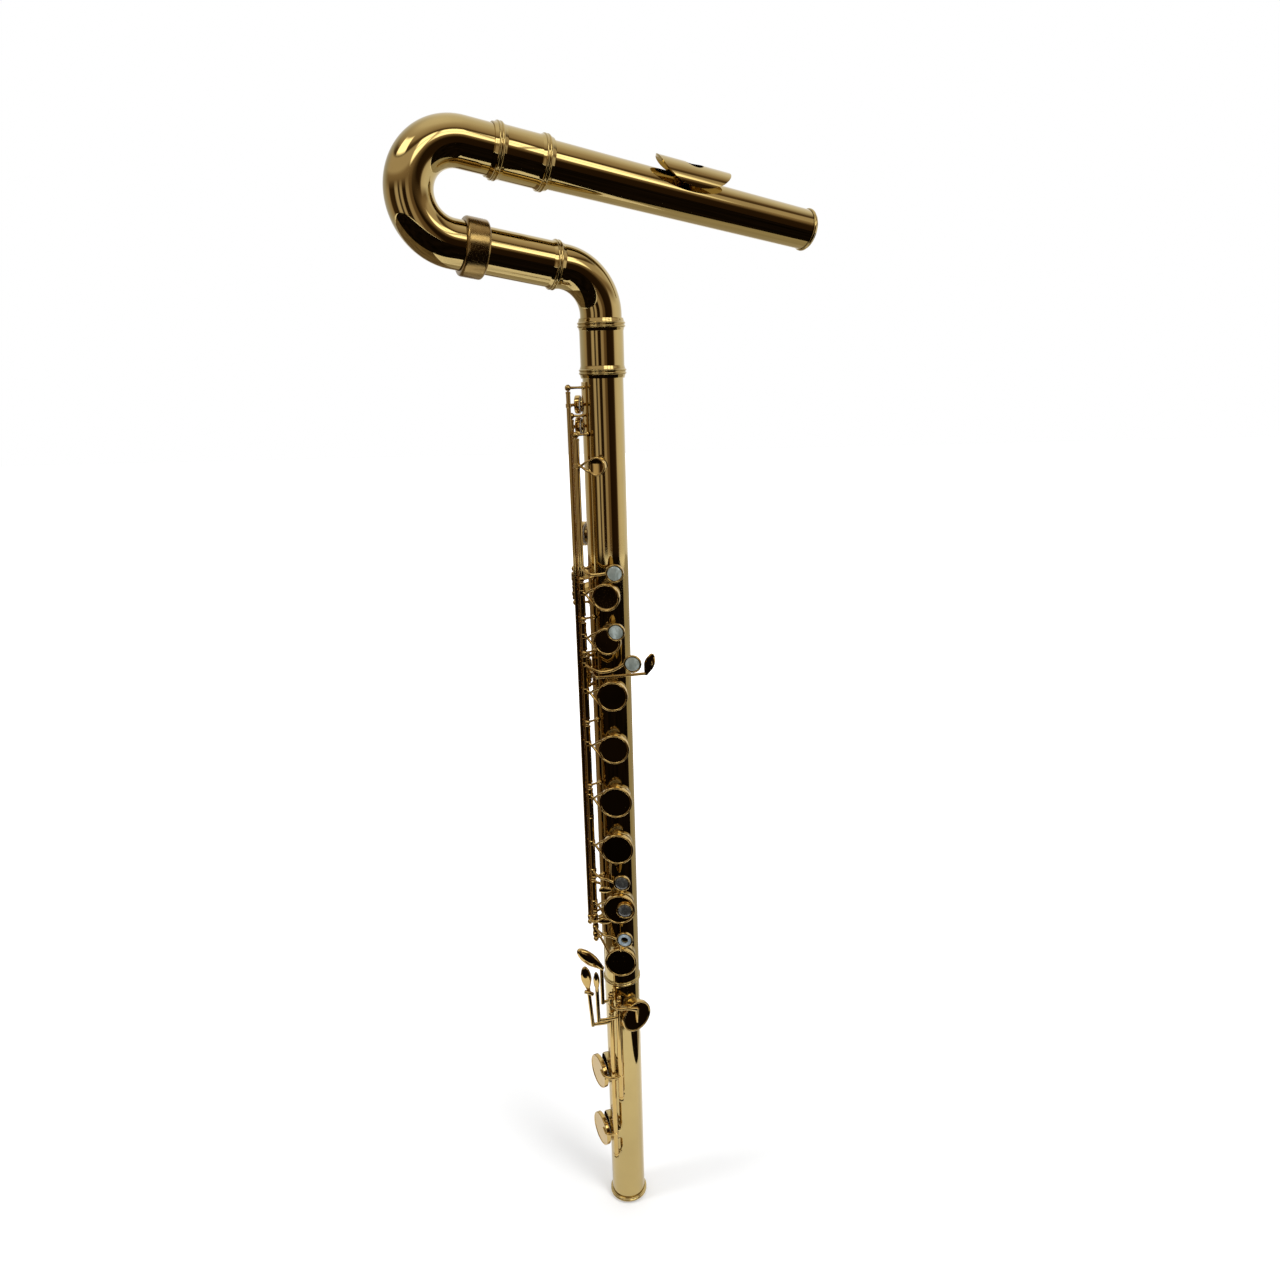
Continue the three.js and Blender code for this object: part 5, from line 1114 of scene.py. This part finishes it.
def forked_arm(bm, key, drop=ARM_DROP):
    """An arm that splits into two prongs at its cup."""
    face, z = HOLES[key][:2]
    root = line_at(key) + facing(face) * (hinge_radius(key) / 2)
    root.z = z + drop
    near = rim_point(key, 0, 0, ARM_LEVEL)
    fork = root.lerp(near, 0.4)
    limb(bm, [(root, ARM_WIDTH * 1.2, ARM_THICKNESS), (fork, ARM_WIDTH, ARM_THICKNESS)])
    for side in (-1, 1):
        end = rim_point(key, side * PRONG_TURN, SEAT_SINK, ARM_LEVEL)
        middle = fork.lerp(end, 0.5) + Vector((0, 0, side * 0.0006))
        limb(bm, [(fork, ARM_WIDTH * 0.8, ARM_THICKNESS), (middle, ARM_WIDTH * 0.75, ARM_THICKNESS),
                  (end, ARM_WIDTH * 0.9, ARM_THICKNESS)])
    root_ring(bm, key, z + drop, ARM_WIDTH * 1.5)


def touch_arm(bm, key, root_z, x, z, dip):
    """An arched arm from the hinge tube to a finger touch, dipping on its way."""
    end = Vector((x - TOUCH_R + SEAT_SINK, -TOUCH_LEVEL - TOUCH_HEIGHT / 2, z))
    root = line_at(key) + Vector((0, -hinge_radius(key) / 2, root_z))
    stations = []
    for run, lift, slope in ((0, 0, 0), (0.2, 0.55, 0.02), (0.45, 0.95, 0.08), (0.75, 1, 0.35), (1, 1, 1)):
        place = Vector((
            root.x + run * (end.x - root.x),
            root.y + lift * (end.y - root.y),
            root_z + slope * (z - root_z) - dip * math.sin(run * math.pi)))
        stations.append((place, 0.0024, ARM_THICKNESS))
    limb(bm, stations, 6)
    root_ring(bm, key, root_z, 0.0036)


def touch(bm, x, z, level, face=0):
    """A round finger touch with a seat for its pearl."""
    edge, half = 0.0008, TOUCH_WALL / 2
    profile = [(0, 0)] + arc((TOUCH_R - edge, edge), (edge, edge), -90, 0, 4)
    profile += arc((TOUCH_R - half, TOUCH_HEIGHT - half), (half, half), 0, 180, 10)
    profile += [(TOUCH_R - TOUCH_WALL, TOUCH_FLOOR), (0, TOUCH_FLOOR)]
    lathe(bm, profile, basis(across(face, x, level, z), facing(face)), CUP_STEPS)


def pearl_piece(key, x, z, level, finish, face=0, bore=0.0):
    """A pearl in its touch: domed, or an open ring."""
    r, low = TOUCH_R - TOUCH_WALL - 0.0004, TOUCH_FLOOR + GAP / 2
    side = TOUCH_HEIGHT - TOUCH_WALL / 2
    if bore:
        dome = arc(((bore + r) / 2, side), ((r - bore) / 2, PEARL_RISE), 0, 180, 12)
    else:
        dome = arc((0, side), (r, PEARL_RISE), 0, 90, 10)
    bm = bmesh.new()
    matrix = basis(across(face, x, level, z), facing(face))
    lathe(bm, [(bore, low), (r, low)] + dome, matrix, CUP_STEPS)
    finish_mesh(f"{key}_pearl_skin", bm, key, finish, [f"{key}_pearl"], REST.get(key, 0))


def leaf(bm, start, end, width, thick=LEAF_THICKNESS):
    """A leaf-shaped touch with a domed face from one end to the other."""
    stations = []
    for t, wide, lift in LEAF_SHAPE:
        place = Vector(start).lerp(Vector(end), t) + Vector((0, -lift * LEAF_THICKNESS, 0))
        depth = min(thick, LEAF_THICKNESS + wide * (thick - LEAF_THICKNESS))
        stations.append((place, wide * width, depth))
    limb(bm, stations, 3)


def lever(bm, key, root, *stations):
    """A lever from a hinge tube through stations of (x, y, z, width)."""
    start = line_at(key) + Vector(root)
    points = [(start, ARM_WIDTH, ARM_THICKNESS)]
    points += [(Vector(s[:3]), s[3] if len(s) > 3 else ARM_WIDTH, ARM_THICKNESS) for s in stations]
    limb(bm, points, 5)
    root_ring(bm, key, start.z, ARM_WIDTH * 1.3)


def key_piece(key, bm):
    """Closes a key's mesh as the piece that stands for its node."""
    hinge_tube(bm, key)
    finish_mesh(f"{key}_skin", bm, key, "key_gold", [key], REST.get(key, 0), smooth=35)


def plain_key(key):
    """A key that is only a cup on its forked arm."""
    bm = bmesh.new()
    cup(bm, key)
    forked_arm(bm, key)
    key_piece(key, bm)


def arm_touch_key(key, root_z, x, z, dip, drop=ARM_DROP):
    """A left hand key with its finger touch on an arm of its own."""
    bm = bmesh.new()
    cup(bm, key)
    forked_arm(bm, key, drop)
    touch_arm(bm, key, root_z, x, z, dip)
    touch(bm, x, z, TOUCH_LEVEL)
    key_piece(key, bm)
    pad_piece(key)
    pearl_piece(key, x, z, TOUCH_LEVEL, "pale_pearl")


def cup_touch_key(key, x, z, finish):
    """A key with its finger touch soldered on its cup's face."""
    face = HOLES[key][0]
    level = cup_bottom(key) + CUP_HEIGHT - CUP_DISH - SEAT_SINK
    bm = bmesh.new()
    cup(bm, key)
    forked_arm(bm, key)
    touch(bm, x, z, level, face)
    key_piece(key, bm)
    pad_piece(key)
    pearl_piece(key, x, z, level, finish, face)


class FLUTE_OT_trill_keys(bpy.types.Operator):
    """Models the two trill keys on their long tubes"""

    bl_idname = "flute.trill_keys"
    bl_label = "Trill keys"

    def execute(self, context):
        main = line_at("c_key")
        clear = HINGE_R + ARM_THICKNESS * 2
        near = line_at("trill_d_sharp_key")
        self.trill("trill_d_sharp_key", 0.3218, [
            (near.x + HINGE_R, -TRILL_LEVEL), (near.x + 0.0085, -TRILL_LEVEL)])
        self.trill("trill_d_key", 0.353, [
            (main.x + clear / 2, main.y + clear), (main.x + clear, main.y + clear / 2),
            (main.x + clear, -TRILL_LEVEL)])
        return {"FINISHED"}

    def trill(self, key, touch_z, path):
        """A trill key: its cup on a lever, and a leaf that a path of (x, y) leads to."""
        bm = bmesh.new()
        z = HOLES[key][1]
        top = rim_point(key, 180, HOLES[key][2], CUP_HEIGHT)
        cup(bm, key)
        lever(bm, key, (0, 0, z), (top.x, top.y, z))
        x, half = line_at(key).x + 0.0135, 0.0055
        stations = []
        for run, wide in ((-1, 0.45), (-0.6, 0.85), (-0.2, 1), (0.2, 1), (0.6, 0.9), (0.88, 0.6), (1, 0.25)):
            place = Vector((x + run * half, -TRILL_LEVEL, touch_z))
            stations.append((place, wide * 0.0062, ARM_THICKNESS))
        limb(bm, stations)
        lever(bm, key, (0, 0, touch_z), *[(px, py, touch_z) for px, py in path])
        key_piece(key, bm)
        pad_piece(key)


class FLUTE_OT_left_hand_keys(bpy.types.Operator):
    """Models the C, B flat, A and two G keys with the left hand's touches"""

    bl_idname = "flute.left_hand_keys"
    bl_label = "Left hand keys"

    def execute(self, context):
        arm_touch_key("c_key", 0.6415, 0.0072, 0.6397, 0.003, drop=0)
        followers = ("b_flat_key", "lower_g_key")
        for key in followers:
            plain_key(key)
        for key in followers:
            pad_piece(key)
        cup_touch_key("a_key", 0.0081, 0.5906, "pale_pearl")
        arm_touch_key("upper_g_key", 0.5605, 0.0196, 0.565, 0.0035)
        return {"FINISHED"}


class FLUTE_OT_g_sharp_key(bpy.types.Operator):
    """Models the G sharp key with its bar across the front and its leaf"""

    bl_idname = "flute.g_sharp_key"
    bl_label = "G sharp key"

    def execute(self, context):
        key, bar_z, leaf_x = "g_sharp_key", 0.551, 0.0295
        bm = bmesh.new()
        cup(bm, key)
        near = rim_point(key, 180, SEAT_SINK, ARM_LEVEL)
        z = HOLES[key][1]
        lever(bm, key, (0, 0, z), (near.x, near.y, z))
        front = -TUBE_R - 0.0086
        clear = HINGE_R + ARM_THICKNESS * 2
        main = line_at("c_key")
        side = main.x + clear
        lever(bm, key, (0, 0, bar_z),
              (side, main.y + clear / 2, bar_z),
              (side + ARM_THICKNESS, front + ARM_THICKNESS, bar_z),
              (side + ARM_THICKNESS * 4, front, bar_z),
              (leaf_x, front, bar_z + ARM_WIDTH))
        leaf(bm, (leaf_x - ARM_WIDTH / 2, front, bar_z + ARM_WIDTH / 2),
             (leaf_x + 0.0045, front, bar_z + 0.0195), 0.0084)
        key_piece(key, bm)
        pad_piece(key)
        return {"FINISHED"}


class FLUTE_OT_thumb_keys(bpy.types.Operator):
    """Models the thumb's B key and its B flat lever"""

    bl_idname = "flute.thumb_keys"
    bl_label = "Thumb keys"

    def execute(self, context):
        key = "thumb_b_key"
        low, high = TUBES[key]
        bm = bmesh.new()
        cup(bm, key)
        z = HOLES[key][1]
        top = rim_point(key, 180, HOLES[key][2], CUP_HEIGHT - CUP_DISH)
        knee = facing(102) * (TUBE_R + 0.0095)
        root = (0, HINGE_R / 2, high - ARM_WIDTH)
        lever(bm, key, root, (knee.x, knee.y, 0.6404), (top.x, top.y, z))
        self.thumb_touch(bm, key, (low + high) / 2)
        key_piece(key, bm)
        pad_piece(key)

        key = "thumb_b_flat_key"
        low, high = TUBES[key]
        bm = bmesh.new()
        self.thumb_touch(bm, key, (low + high) / 2 - 0.001)
        key_piece(key, bm)
        return {"FINISHED"}

    def thumb_touch(self, bm, key, z):
        """A broad touch on the player's side of the tube."""
        stations = []
        for face, lift, width in THUMB_TOUCH:
            place = facing(face) * (TUBE_R + lift)
            stations.append((place.x, place.y, z, width))
        lever(bm, key, (0, 0, z), *stations)


class FLUTE_OT_right_hand_keys(bpy.types.Operator):
    """Models the F sharp, F, E and D keys with the right hand's touches"""

    bl_idname = "flute.right_hand_keys"
    bl_label = "Right hand keys"

    def execute(self, context):
        plain_key("f_sharp_key")
        pad_piece("f_sharp_key")
        self.f_key()
        cup_touch_key("e_key", 0.0052, HOLES["e_key"][1], "dark_pearl")
        self.d_key()
        return {"FINISHED"}

    def f_key(self):
        """The F key, with a second arm from its cup's lower edge to its touch."""
        key, x, z = "f_key", 0.0052, 0.3646
        bm = bmesh.new()
        cup(bm, key)
        forked_arm(bm, key)
        low = rim_point(key, -62, SEAT_SINK * 2, ARM_LEVEL)
        places = (low, Vector((low.x, -TOUCH_LEVEL, (low.z + z) / 2)),
                  Vector((low.x, -TOUCH_LEVEL - TOUCH_HEIGHT / 2, z)))
        limb(bm, [(place, ARM_WIDTH, ARM_THICKNESS) for place in places])
        touch_arm(bm, key, 0.3695, x, z, 0.001)
        touch(bm, x, z, TOUCH_LEVEL)
        key_piece(key, bm)
        pad_piece(key)
        pearl_piece(key, x, z, TOUCH_LEVEL, "dark_pearl")

    def d_key(self):
        """The D key, whose cup hangs on a lever and whose pearl is an open ring."""
        key, x, z = "d_key", 0.0063, 0.3082
        bm = bmesh.new()
        cup(bm, key)
        low = TUBES[key][0]
        line = line_at(key)
        side = rim_point(key, 40, SEAT_SINK * 2, ARM_LEVEL)
        lever(bm, key, (HINGE_R / 2, -HINGE_R / 2, low + ARM_WIDTH),
              (line.x + HINGE_R * 2, line.y - HINGE_R, low), tuple(side))
        top = rim_point(key, 90, SEAT_SINK * 2, ARM_LEVEL)
        limb(bm, [(top, ARM_WIDTH * 2, ARM_THICKNESS),
                  (Vector((x - TOUCH_R / 2, GAP - TOUCH_LEVEL, z)), ARM_WIDTH, ARM_THICKNESS)])
        touch_arm(bm, key, 0.3125, x, z, 0.001)
        touch(bm, x, z, TOUCH_LEVEL)
        key_piece(key, bm)
        pad_piece(key)
        pearl_piece(key, x, z, TOUCH_LEVEL, "ring_pearl", bore=0.0031)


class FLUTE_OT_foot_keys(bpy.types.Operator):
    """Models the D sharp, low C sharp and low C keys with the foot's leaves"""

    bl_idname = "flute.foot_keys"
    bl_label = "Foot keys"

    def execute(self, context):
        self.d_sharp()
        over = line_at("low_c_key")
        cross = [(over.x, over.y - HINGE_R - ARM_THICKNESS)]
        self.low_key("low_c_sharp_key", cross, (-0.0225, 0.223, 0.0006, ARM_THICKNESS),
                     0.276, (0.0054, 0.0036))
        self.low_key("low_c_key", [], (-0.028, 0.217, 0.003, 0), 0.281, (0.009, 0.0046))
        return {"FINISHED"}

    def d_sharp(self):
        """The D sharp key: a lever over its cup, and a bar and a stem up to its leaf."""
        key, root_z = "d_sharp_key", 0.2325
        bm = bmesh.new()
        cup(bm, key)
        over = CUP_HEIGHT - CUP_DISH + ARM_THICKNESS / 4
        cup_r = HOLES[key][2]
        edge = rim_point(key, 55, 0, over)
        crossing = line_at("low_c_sharp_key")
        middle = rim_point(key, 90, cup_r / 2, over)
        tip = rim_point(key, 90, cup_r * 1.4, over)
        lever(bm, key, (0, -HINGE_R / 2, root_z),
              (crossing.x, crossing.y - HINGE_R - ARM_THICKNESS, root_z),
              tuple(edge), tuple(middle) + (ARM_WIDTH * 1.5,))
        limb(bm, [(middle + Vector((0, 0, ARM_WIDTH / 2)), ARM_WIDTH * 1.5, ARM_THICKNESS),
                  (middle.lerp(tip, 0.5), ARM_WIDTH, ARM_THICKNESS * 0.8), (tip, 0.001, 0.0008)])
        level, x, wide = -FOOT_LEVEL, -0.0175, FOOT_LEVER_WIDTH
        lever(bm, key, (0, -HINGE_R / 2, D_SHARP_BAR), (x, level, D_SHARP_BAR, wide))
        limb(bm, [(Vector((x, level, D_SHARP_BAR - wide / 2)), wide, LEVER_THICKNESS),
                  (Vector((x, level, D_SHARP_STEM_TOP)), wide, LEVER_THICKNESS)])
        leaf(bm, (x + ARM_WIDTH / 2, level, D_SHARP_STEM_TOP - ARM_WIDTH),
             (-0.038, level - 0.002, 0.2955), 0.0112, 0.0062)
        key_piece(key, bm)
        pad_piece(key)

    def low_key(self, key, cross, stem, leaf_top, leaf_size):
        """One of the two low keys; its stem is the x, height, lean and lift of its lever."""
        stem_x, stem_z, lean, lift = stem
        bm = bmesh.new()
        cup(bm, key)
        z, cup_r = HOLES[key][1:3]
        level = -FOOT_LEVEL - lift
        near = rim_point(key, 180 - 42, cup_r / 2, ARM_LEVEL + SEAT_SINK)
        rim_turn = 180 - math.degrees(math.asin((near.z - z) / cup_r))
        rim = rim_point(key, rim_turn, 0, ARM_LEVEL + SEAT_SINK * 2)
        lever(bm, key, (0, -HINGE_R / 2, near.z), *[(x, y, near.z) for x, y in cross],
              (rim.x, rim.y, near.z), tuple(near))
        line = line_at(key)
        wide = FOOT_LEVER_WIDTH
        lever(bm, key, (0, -HINGE_R / 2, stem_z), (line.x - HINGE_R * 2, level, stem_z, wide),
              (stem_x, level, stem_z, wide))
        limb(bm, [(Vector((stem_x, level, stem_z - wide / 2)), wide, LEVER_THICKNESS),
                  (Vector((stem_x - lean, level, LOW_STEM_TOP)), wide, LEVER_THICKNESS)])
        leaf(bm, (stem_x - lean, level, LOW_STEM_TOP - ARM_WIDTH),
             (stem_x - lean * 2, level - 0.003, leaf_top), *leaf_size)
        if key == "low_c_key":
            places = ((-0.0345, 0.2545), (-0.0315, 0.2535), (-0.029, 0.252), (-0.0272, 0.2506))
            limb(bm, [(Vector((x, level - 0.0022, z)), wide, 0.0036) for x, z in places])
        key_piece(key, bm)
        pad_piece(key)


class FLUTE_OT_steels(bpy.types.Operator):
    """Models the steels that the keys turn on and the cork's screw and stopper"""

    bl_idname = "flute.steels"
    bl_label = "Steels and cork"

    def execute(self, context):
        lines = {
            "low_c_steel": ("low_c_key", "foot"), "low_c_sharp_steel": ("low_c_sharp_key", "foot"),
            "upper_steel": ("c_key", "body"), "left_hand_steel": ("c_key", "body"),
            "right_hand_steel": ("c_key", "body"), "trill_steel": ("trill_d_sharp_key", "body"),
            "second_trill_steel": ("trill_d_key", "body"), "thumb_steel": ("thumb_b_key", "body"),
            "g_sharp_steel": ("g_sharp_key", "body"),
        }
        for name, (key, body) in lines.items():
            low, high = (corner[2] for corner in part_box(name))
            bm = bmesh.new()
            lathe(bm, bevelled(0, steel_radius(key), low, high, 0.0002),
                  Matrix.Translation(line_at(key)), ROD_STEPS)
            finish_mesh(f"{name}_skin", bm, body, "steel", [name])
        self.stopper()
        return {"FINISHED"}

    def stopper(self):
        """The cork in the head's end and the screw that moves it."""
        face = BLOW_HOLE + CORK_SETBACK
        back = face + CORK_LENGTH
        radius, hollow, floor = head_radius(back) - TUBE_WALL - GAP, CORK_SCREW_R + 0.0003, back - 0.004
        section = bevelled(0, radius, face, back, 0.0006)
        bm = bmesh.new()
        lathe(bm, section[:-1] + [(hollow, back), (hollow, floor), (0, floor)], blowing_frame(), CUP_STEPS)
        finish_mesh("cork_stopper_skin", bm, "cork", "cork", ["cork_stopper"])

        low, high = back - 0.003, HEAD_END + GAP - CROWN_PLUG + 0.0005
        section = bevelled(0, CORK_SCREW_R, low, high, 0.0003)
        bm = bmesh.new()
        lathe(bm, section[:3] + [(CORK_SCREW_R, high), (0, high)], blowing_frame(), ROD_STEPS)
        finish_mesh("cork_screw_skin", bm, "crown", "steel", ["cork_screw"])


class FLUTE_OT_stage(bpy.types.Operator):
    """Sets the floor, the soft lights, the world and the camera"""

    bl_idname = "flute.stage"
    bl_label = "Stage"

    def execute(self, context):
        scene = context.scene
        stage = scene.flute_stage
        scene.view_settings.view_transform = "Standard"
        self.world(scene)
        self.floor(stage)
        self.room()
        self.lights(stage)
        self.camera(scene)
        return {"FINISHED"}

    def seen_white(self, tree):
        """One for the rays that meet the background itself, in the lens, in metal or in glass."""
        rays = tree.nodes.new("ShaderNodeLightPath").outputs
        through = maths(tree, "MAXIMUM", rays["Is Camera Ray"], rays["Is Transmission Ray"])
        return maths(tree, "MAXIMUM", through, rays["Is Glossy Ray"])

    def world(self, scene):
        """White where it is seen, a softer grey where it lights."""
        world = bpy.data.worlds.new("studio_air")
        world.use_nodes = True
        scene.world = world
        tree = world.node_tree
        background = tree.nodes["Background"]
        background.inputs["Color"].default_value = (1, 1, 1, 1)
        level = spread(tree, self.seen_white(tree), target=(0.5, 1))
        tree.links.new(level, background.inputs["Strength"])

    def sheet(self, name, bm, paint):
        """A stage piece from a bmesh."""
        mesh = bpy.data.meshes.new(name)
        bm.to_mesh(mesh)
        bm.free()
        piece = bpy.data.objects.new(name, mesh)
        bpy.context.scene.collection.objects.link(piece)
        mesh.materials.append(paint)
        return piece

    def mirrored(self, name, bm, paint, tree, shader, colour, strength):
        """A stage piece that only the metal sees: it glows, reflects nothing and shades nothing."""
        dress(tree, shader, Base_Color=(0, 0, 0, 1), Roughness=1, Specular_IOR_Level=0,
              Emission_Color=colour, Emission_Strength=strength)
        piece = self.sheet(name, bm, paint)
        piece.visible_camera = False
        piece.visible_shadow = False
        piece.visible_diffuse = False
        piece.visible_transmission = False

    def floor(self, stage):
        """A plain pale floor that keeps a soft shadow and fades to white."""
        drop = CAD_BOX[0][2] - stage.floor_drop
        bm = bmesh.new()
        bmesh.ops.create_grid(bm, x_segments=2, y_segments=2, size=8)
        bmesh.ops.translate(bm, vec=(0, 0, drop), verts=bm.verts)
        paint, tree, shader = node_tree("pale_floor")
        shades = ramp(tree, noise(tree, 5, 3), (0.3, 0.8), (0.7, 0.83))
        place = tree.nodes.new("ShaderNodeTexCoord").outputs["Object"]
        fade = spread(tree, vector_maths(tree, "LENGTH", place), (0.1, 1.4), (0.16, 1))
        seen = maths(tree, "MULTIPLY", fade, self.seen_white(tree))
        dress(tree, shader, Base_Color=shades, Roughness=0.9, Specular_IOR_Level=0.1,
              Emission_Color=(1, 1, 1, 1), Emission_Strength=seen)
        self.sheet("floor", bm, paint)

        # Sheets of painted reflection that only the metal sees
        for name, low, high, patches in REFLECTION_SHEETS:
            self.mat(name, low, high, patches, drop + 0.001)

    def mat(self, name, low, high, patches, level):
        """A glowing sheet of painted reflection on the floor, which only the metal sees: darker or browner
        than the sheet by the foot.
        """
        bm = bmesh.new()
        for left, right, front, back in patches:
            place = Matrix.Translation(((left + right) / 2, (front + back) / 2, level))
            size = Matrix.Diagonal(((right - left) / 2, (back - front) / 2, 1, 1))
            bmesh.ops.create_grid(bm, x_segments=1, y_segments=1, size=1, matrix=place @ size)
        paint, tree, shader = node_tree(name)
        colours = ramp(tree, noise(tree, 3, 4), (0.35, low), (0.7, high))
        self.mirrored(name, bm, paint, tree, shader, colours, 1)

    def room(self):
        """The room that the metal reflects: a glowing sphere round the flute, painted with its reflections.
        """
        bm = bmesh.new()
        bmesh.ops.create_uvsphere(bm, u_segments=48, v_segments=24, radius=ROOM_R,
                                  matrix=Matrix.Translation((0, 0, ROOM_LEVEL)))
        bmesh.ops.reverse_faces(bm, faces=bm.faces)
        paint, tree, shader = node_tree("room_walls")
        place = tree.nodes.new("ShaderNodeTexCoord").outputs["Object"]
        centred = vector_maths(tree, "SUBTRACT", place, (0, 0, ROOM_LEVEL))
        split = tree.nodes.new("ShaderNodeSeparateXYZ")
        tree.links.new(vector_maths(tree, "NORMALIZE", centred), split.inputs[0])
        light = self.room_light(tree, *split.outputs)
        self.mirrored("room", bm, paint, tree, shader, light, ROOM_GLOW)

    def room_light(self, tree, x, y, z):
        """The painted reflections that the room shows each way: dark walls, a ceiling, strips of painted
        highlight and a pale back.
        """
        def around(levels):
            return [((degrees + 180) / 360, level) for degrees, level in levels]

        def upwards(levels):
            return [((degrees + 90) / 180, level) for degrees, level in levels]

        turned = maths(tree, "ARCTAN2", x, maths(tree, "MULTIPLY", y, -1))
        azimuth = maths(tree, "ADD", maths(tree, "DIVIDE", turned, math.tau), 0.5)
        raised = maths(tree, "DIVIDE", maths(tree, "ARCSINE", z), math.pi)
        height = maths(tree, "ADD", raised, 0.5)
        # The walls and ceiling are painted reflections, browner where darker
        wall = ramp(tree, azimuth, *[(at, reflection_tint(level)) for at, level in around(WALL_LEVELS)])
        ceiling = ramp(tree, height, *[(at, reflection_tint(level)) for at, level in upwards(CEILING_LEVELS)])
        edges = ((WALL_TOP - WALL_BLUR + 90) / 180, (WALL_TOP + WALL_BLUR + 90) / 180)
        lit = mixed(tree, spread(tree, height, edges), wall, ceiling)
        # Painted highlights: bright window strips laid over the walls and ceiling
        for across_it, up_it in WINDOW_HIGHLIGHTS:
            wide = ramp(tree, azimuth, *around(across_it))
            tall = ramp(tree, height, *upwards(up_it))
            lit = mixed(tree, maths(tree, "MULTIPLY", wide, tall), lit, (*WINDOW_HIGHLIGHT_COLOUR, 1))
        growing = maths(tree, "MAXIMUM", 0, maths(tree, "MULTIPLY", y, 2.4))
        back = maths(tree, "SMOOTH_MIN", 1, growing, 0.1)
        side = maths(tree, "ADD", maths(tree, "DIVIDE", x, 2), 0.5)
        return mixed(tree, back, lit, ramp(tree, side, (0.1, 0.5), (0.45, 0.9)))

    def softbox(self, name, at, width, height, power):
        """A soft rectangular lamp that the metal doesn't mirror as a hard shape."""
        data = bpy.data.lights.new(name, "AREA")
        data.shape = "RECTANGLE"
        data.size, data.size_y = width, height
        data.energy = power
        lamp = bpy.data.objects.new(name, data)
        bpy.context.scene.collection.objects.link(lamp)
        lamp.matrix_world = basis(at, Vector(at) - Vector((0, 0, 0.5)))
        lamp.visible_glossy = False

    def lights(self, stage):
        """The softboxes, at the powers that the stage is set to."""
        for name, (at, width, height, power) in LAMPS.items():
            self.softbox(name, at, width, height, getattr(stage, power))

    def camera(self, scene):
        """The photograph's place and angle."""
        data = bpy.data.cameras.new("view")
        data.lens = LENS
        data.sensor_width = SENSOR
        data.clip_start = 0.01
        camera = bpy.data.objects.new("view", data)
        scene.collection.objects.link(camera)
        right = Vector((1, 0, 0))
        up = Vector((0, math.sin(CAMERA_PITCH), math.cos(CAMERA_PITCH)))
        back = right.cross(up)
        x = right * math.cos(CAMERA_ROLL) + up * math.sin(CAMERA_ROLL)
        y = up * math.cos(CAMERA_ROLL) - right * math.sin(CAMERA_ROLL)
        turn = Matrix((x, y, back)).transposed().to_4x4()
        camera.matrix_world = Matrix.Translation(CAMERA_PLACE) @ turn
        scene.camera = camera


PIECES = (
    FLUTE_OT_body_tubes, FLUTE_OT_ribs, FLUTE_OT_neck, FLUTE_OT_head, FLUTE_OT_trill_keys,
    FLUTE_OT_left_hand_keys, FLUTE_OT_g_sharp_key, FLUTE_OT_thumb_keys, FLUTE_OT_right_hand_keys,
    FLUTE_OT_foot_keys, FLUTE_OT_steels, FLUTE_OT_stage,
)


class FLUTE_PT_dresser(bpy.types.Panel):
    """Lists the flute's pieces and settings"""

    bl_idname = "FLUTE_PT_dresser"
    bl_label = "Bass flute"
    bl_space_type = "VIEW_3D"
    bl_region_type = "UI"
    bl_category = "Flute"

    def draw(self, context):
        layout = self.layout
        for settings in (context.scene.flute_look, context.scene.flute_stage):
            for name in settings.__annotations__:
                layout.prop(settings, name)
        for piece in PIECES:
            layout.operator(piece.bl_idname)


CLASSES = (LookSettings, StageSettings, *PIECES, FLUTE_PT_dresser)


def register():
    for cls in CLASSES:
        bpy.utils.register_class(cls)
    bpy.types.Scene.flute_look = PointerProperty(type=LookSettings)
    bpy.types.Scene.flute_stage = PointerProperty(type=StageSettings)


def unregister():
    del bpy.types.Scene.flute_stage
    del bpy.types.Scene.flute_look
    for cls in reversed(CLASSES):
        bpy.utils.unregister_class(cls)


def main():
    register()
    for piece in PIECES:
        getattr(bpy.ops.flute, piece.bl_idname.partition(".")[2])()
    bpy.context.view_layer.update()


if __name__ == "__main__":
    main()
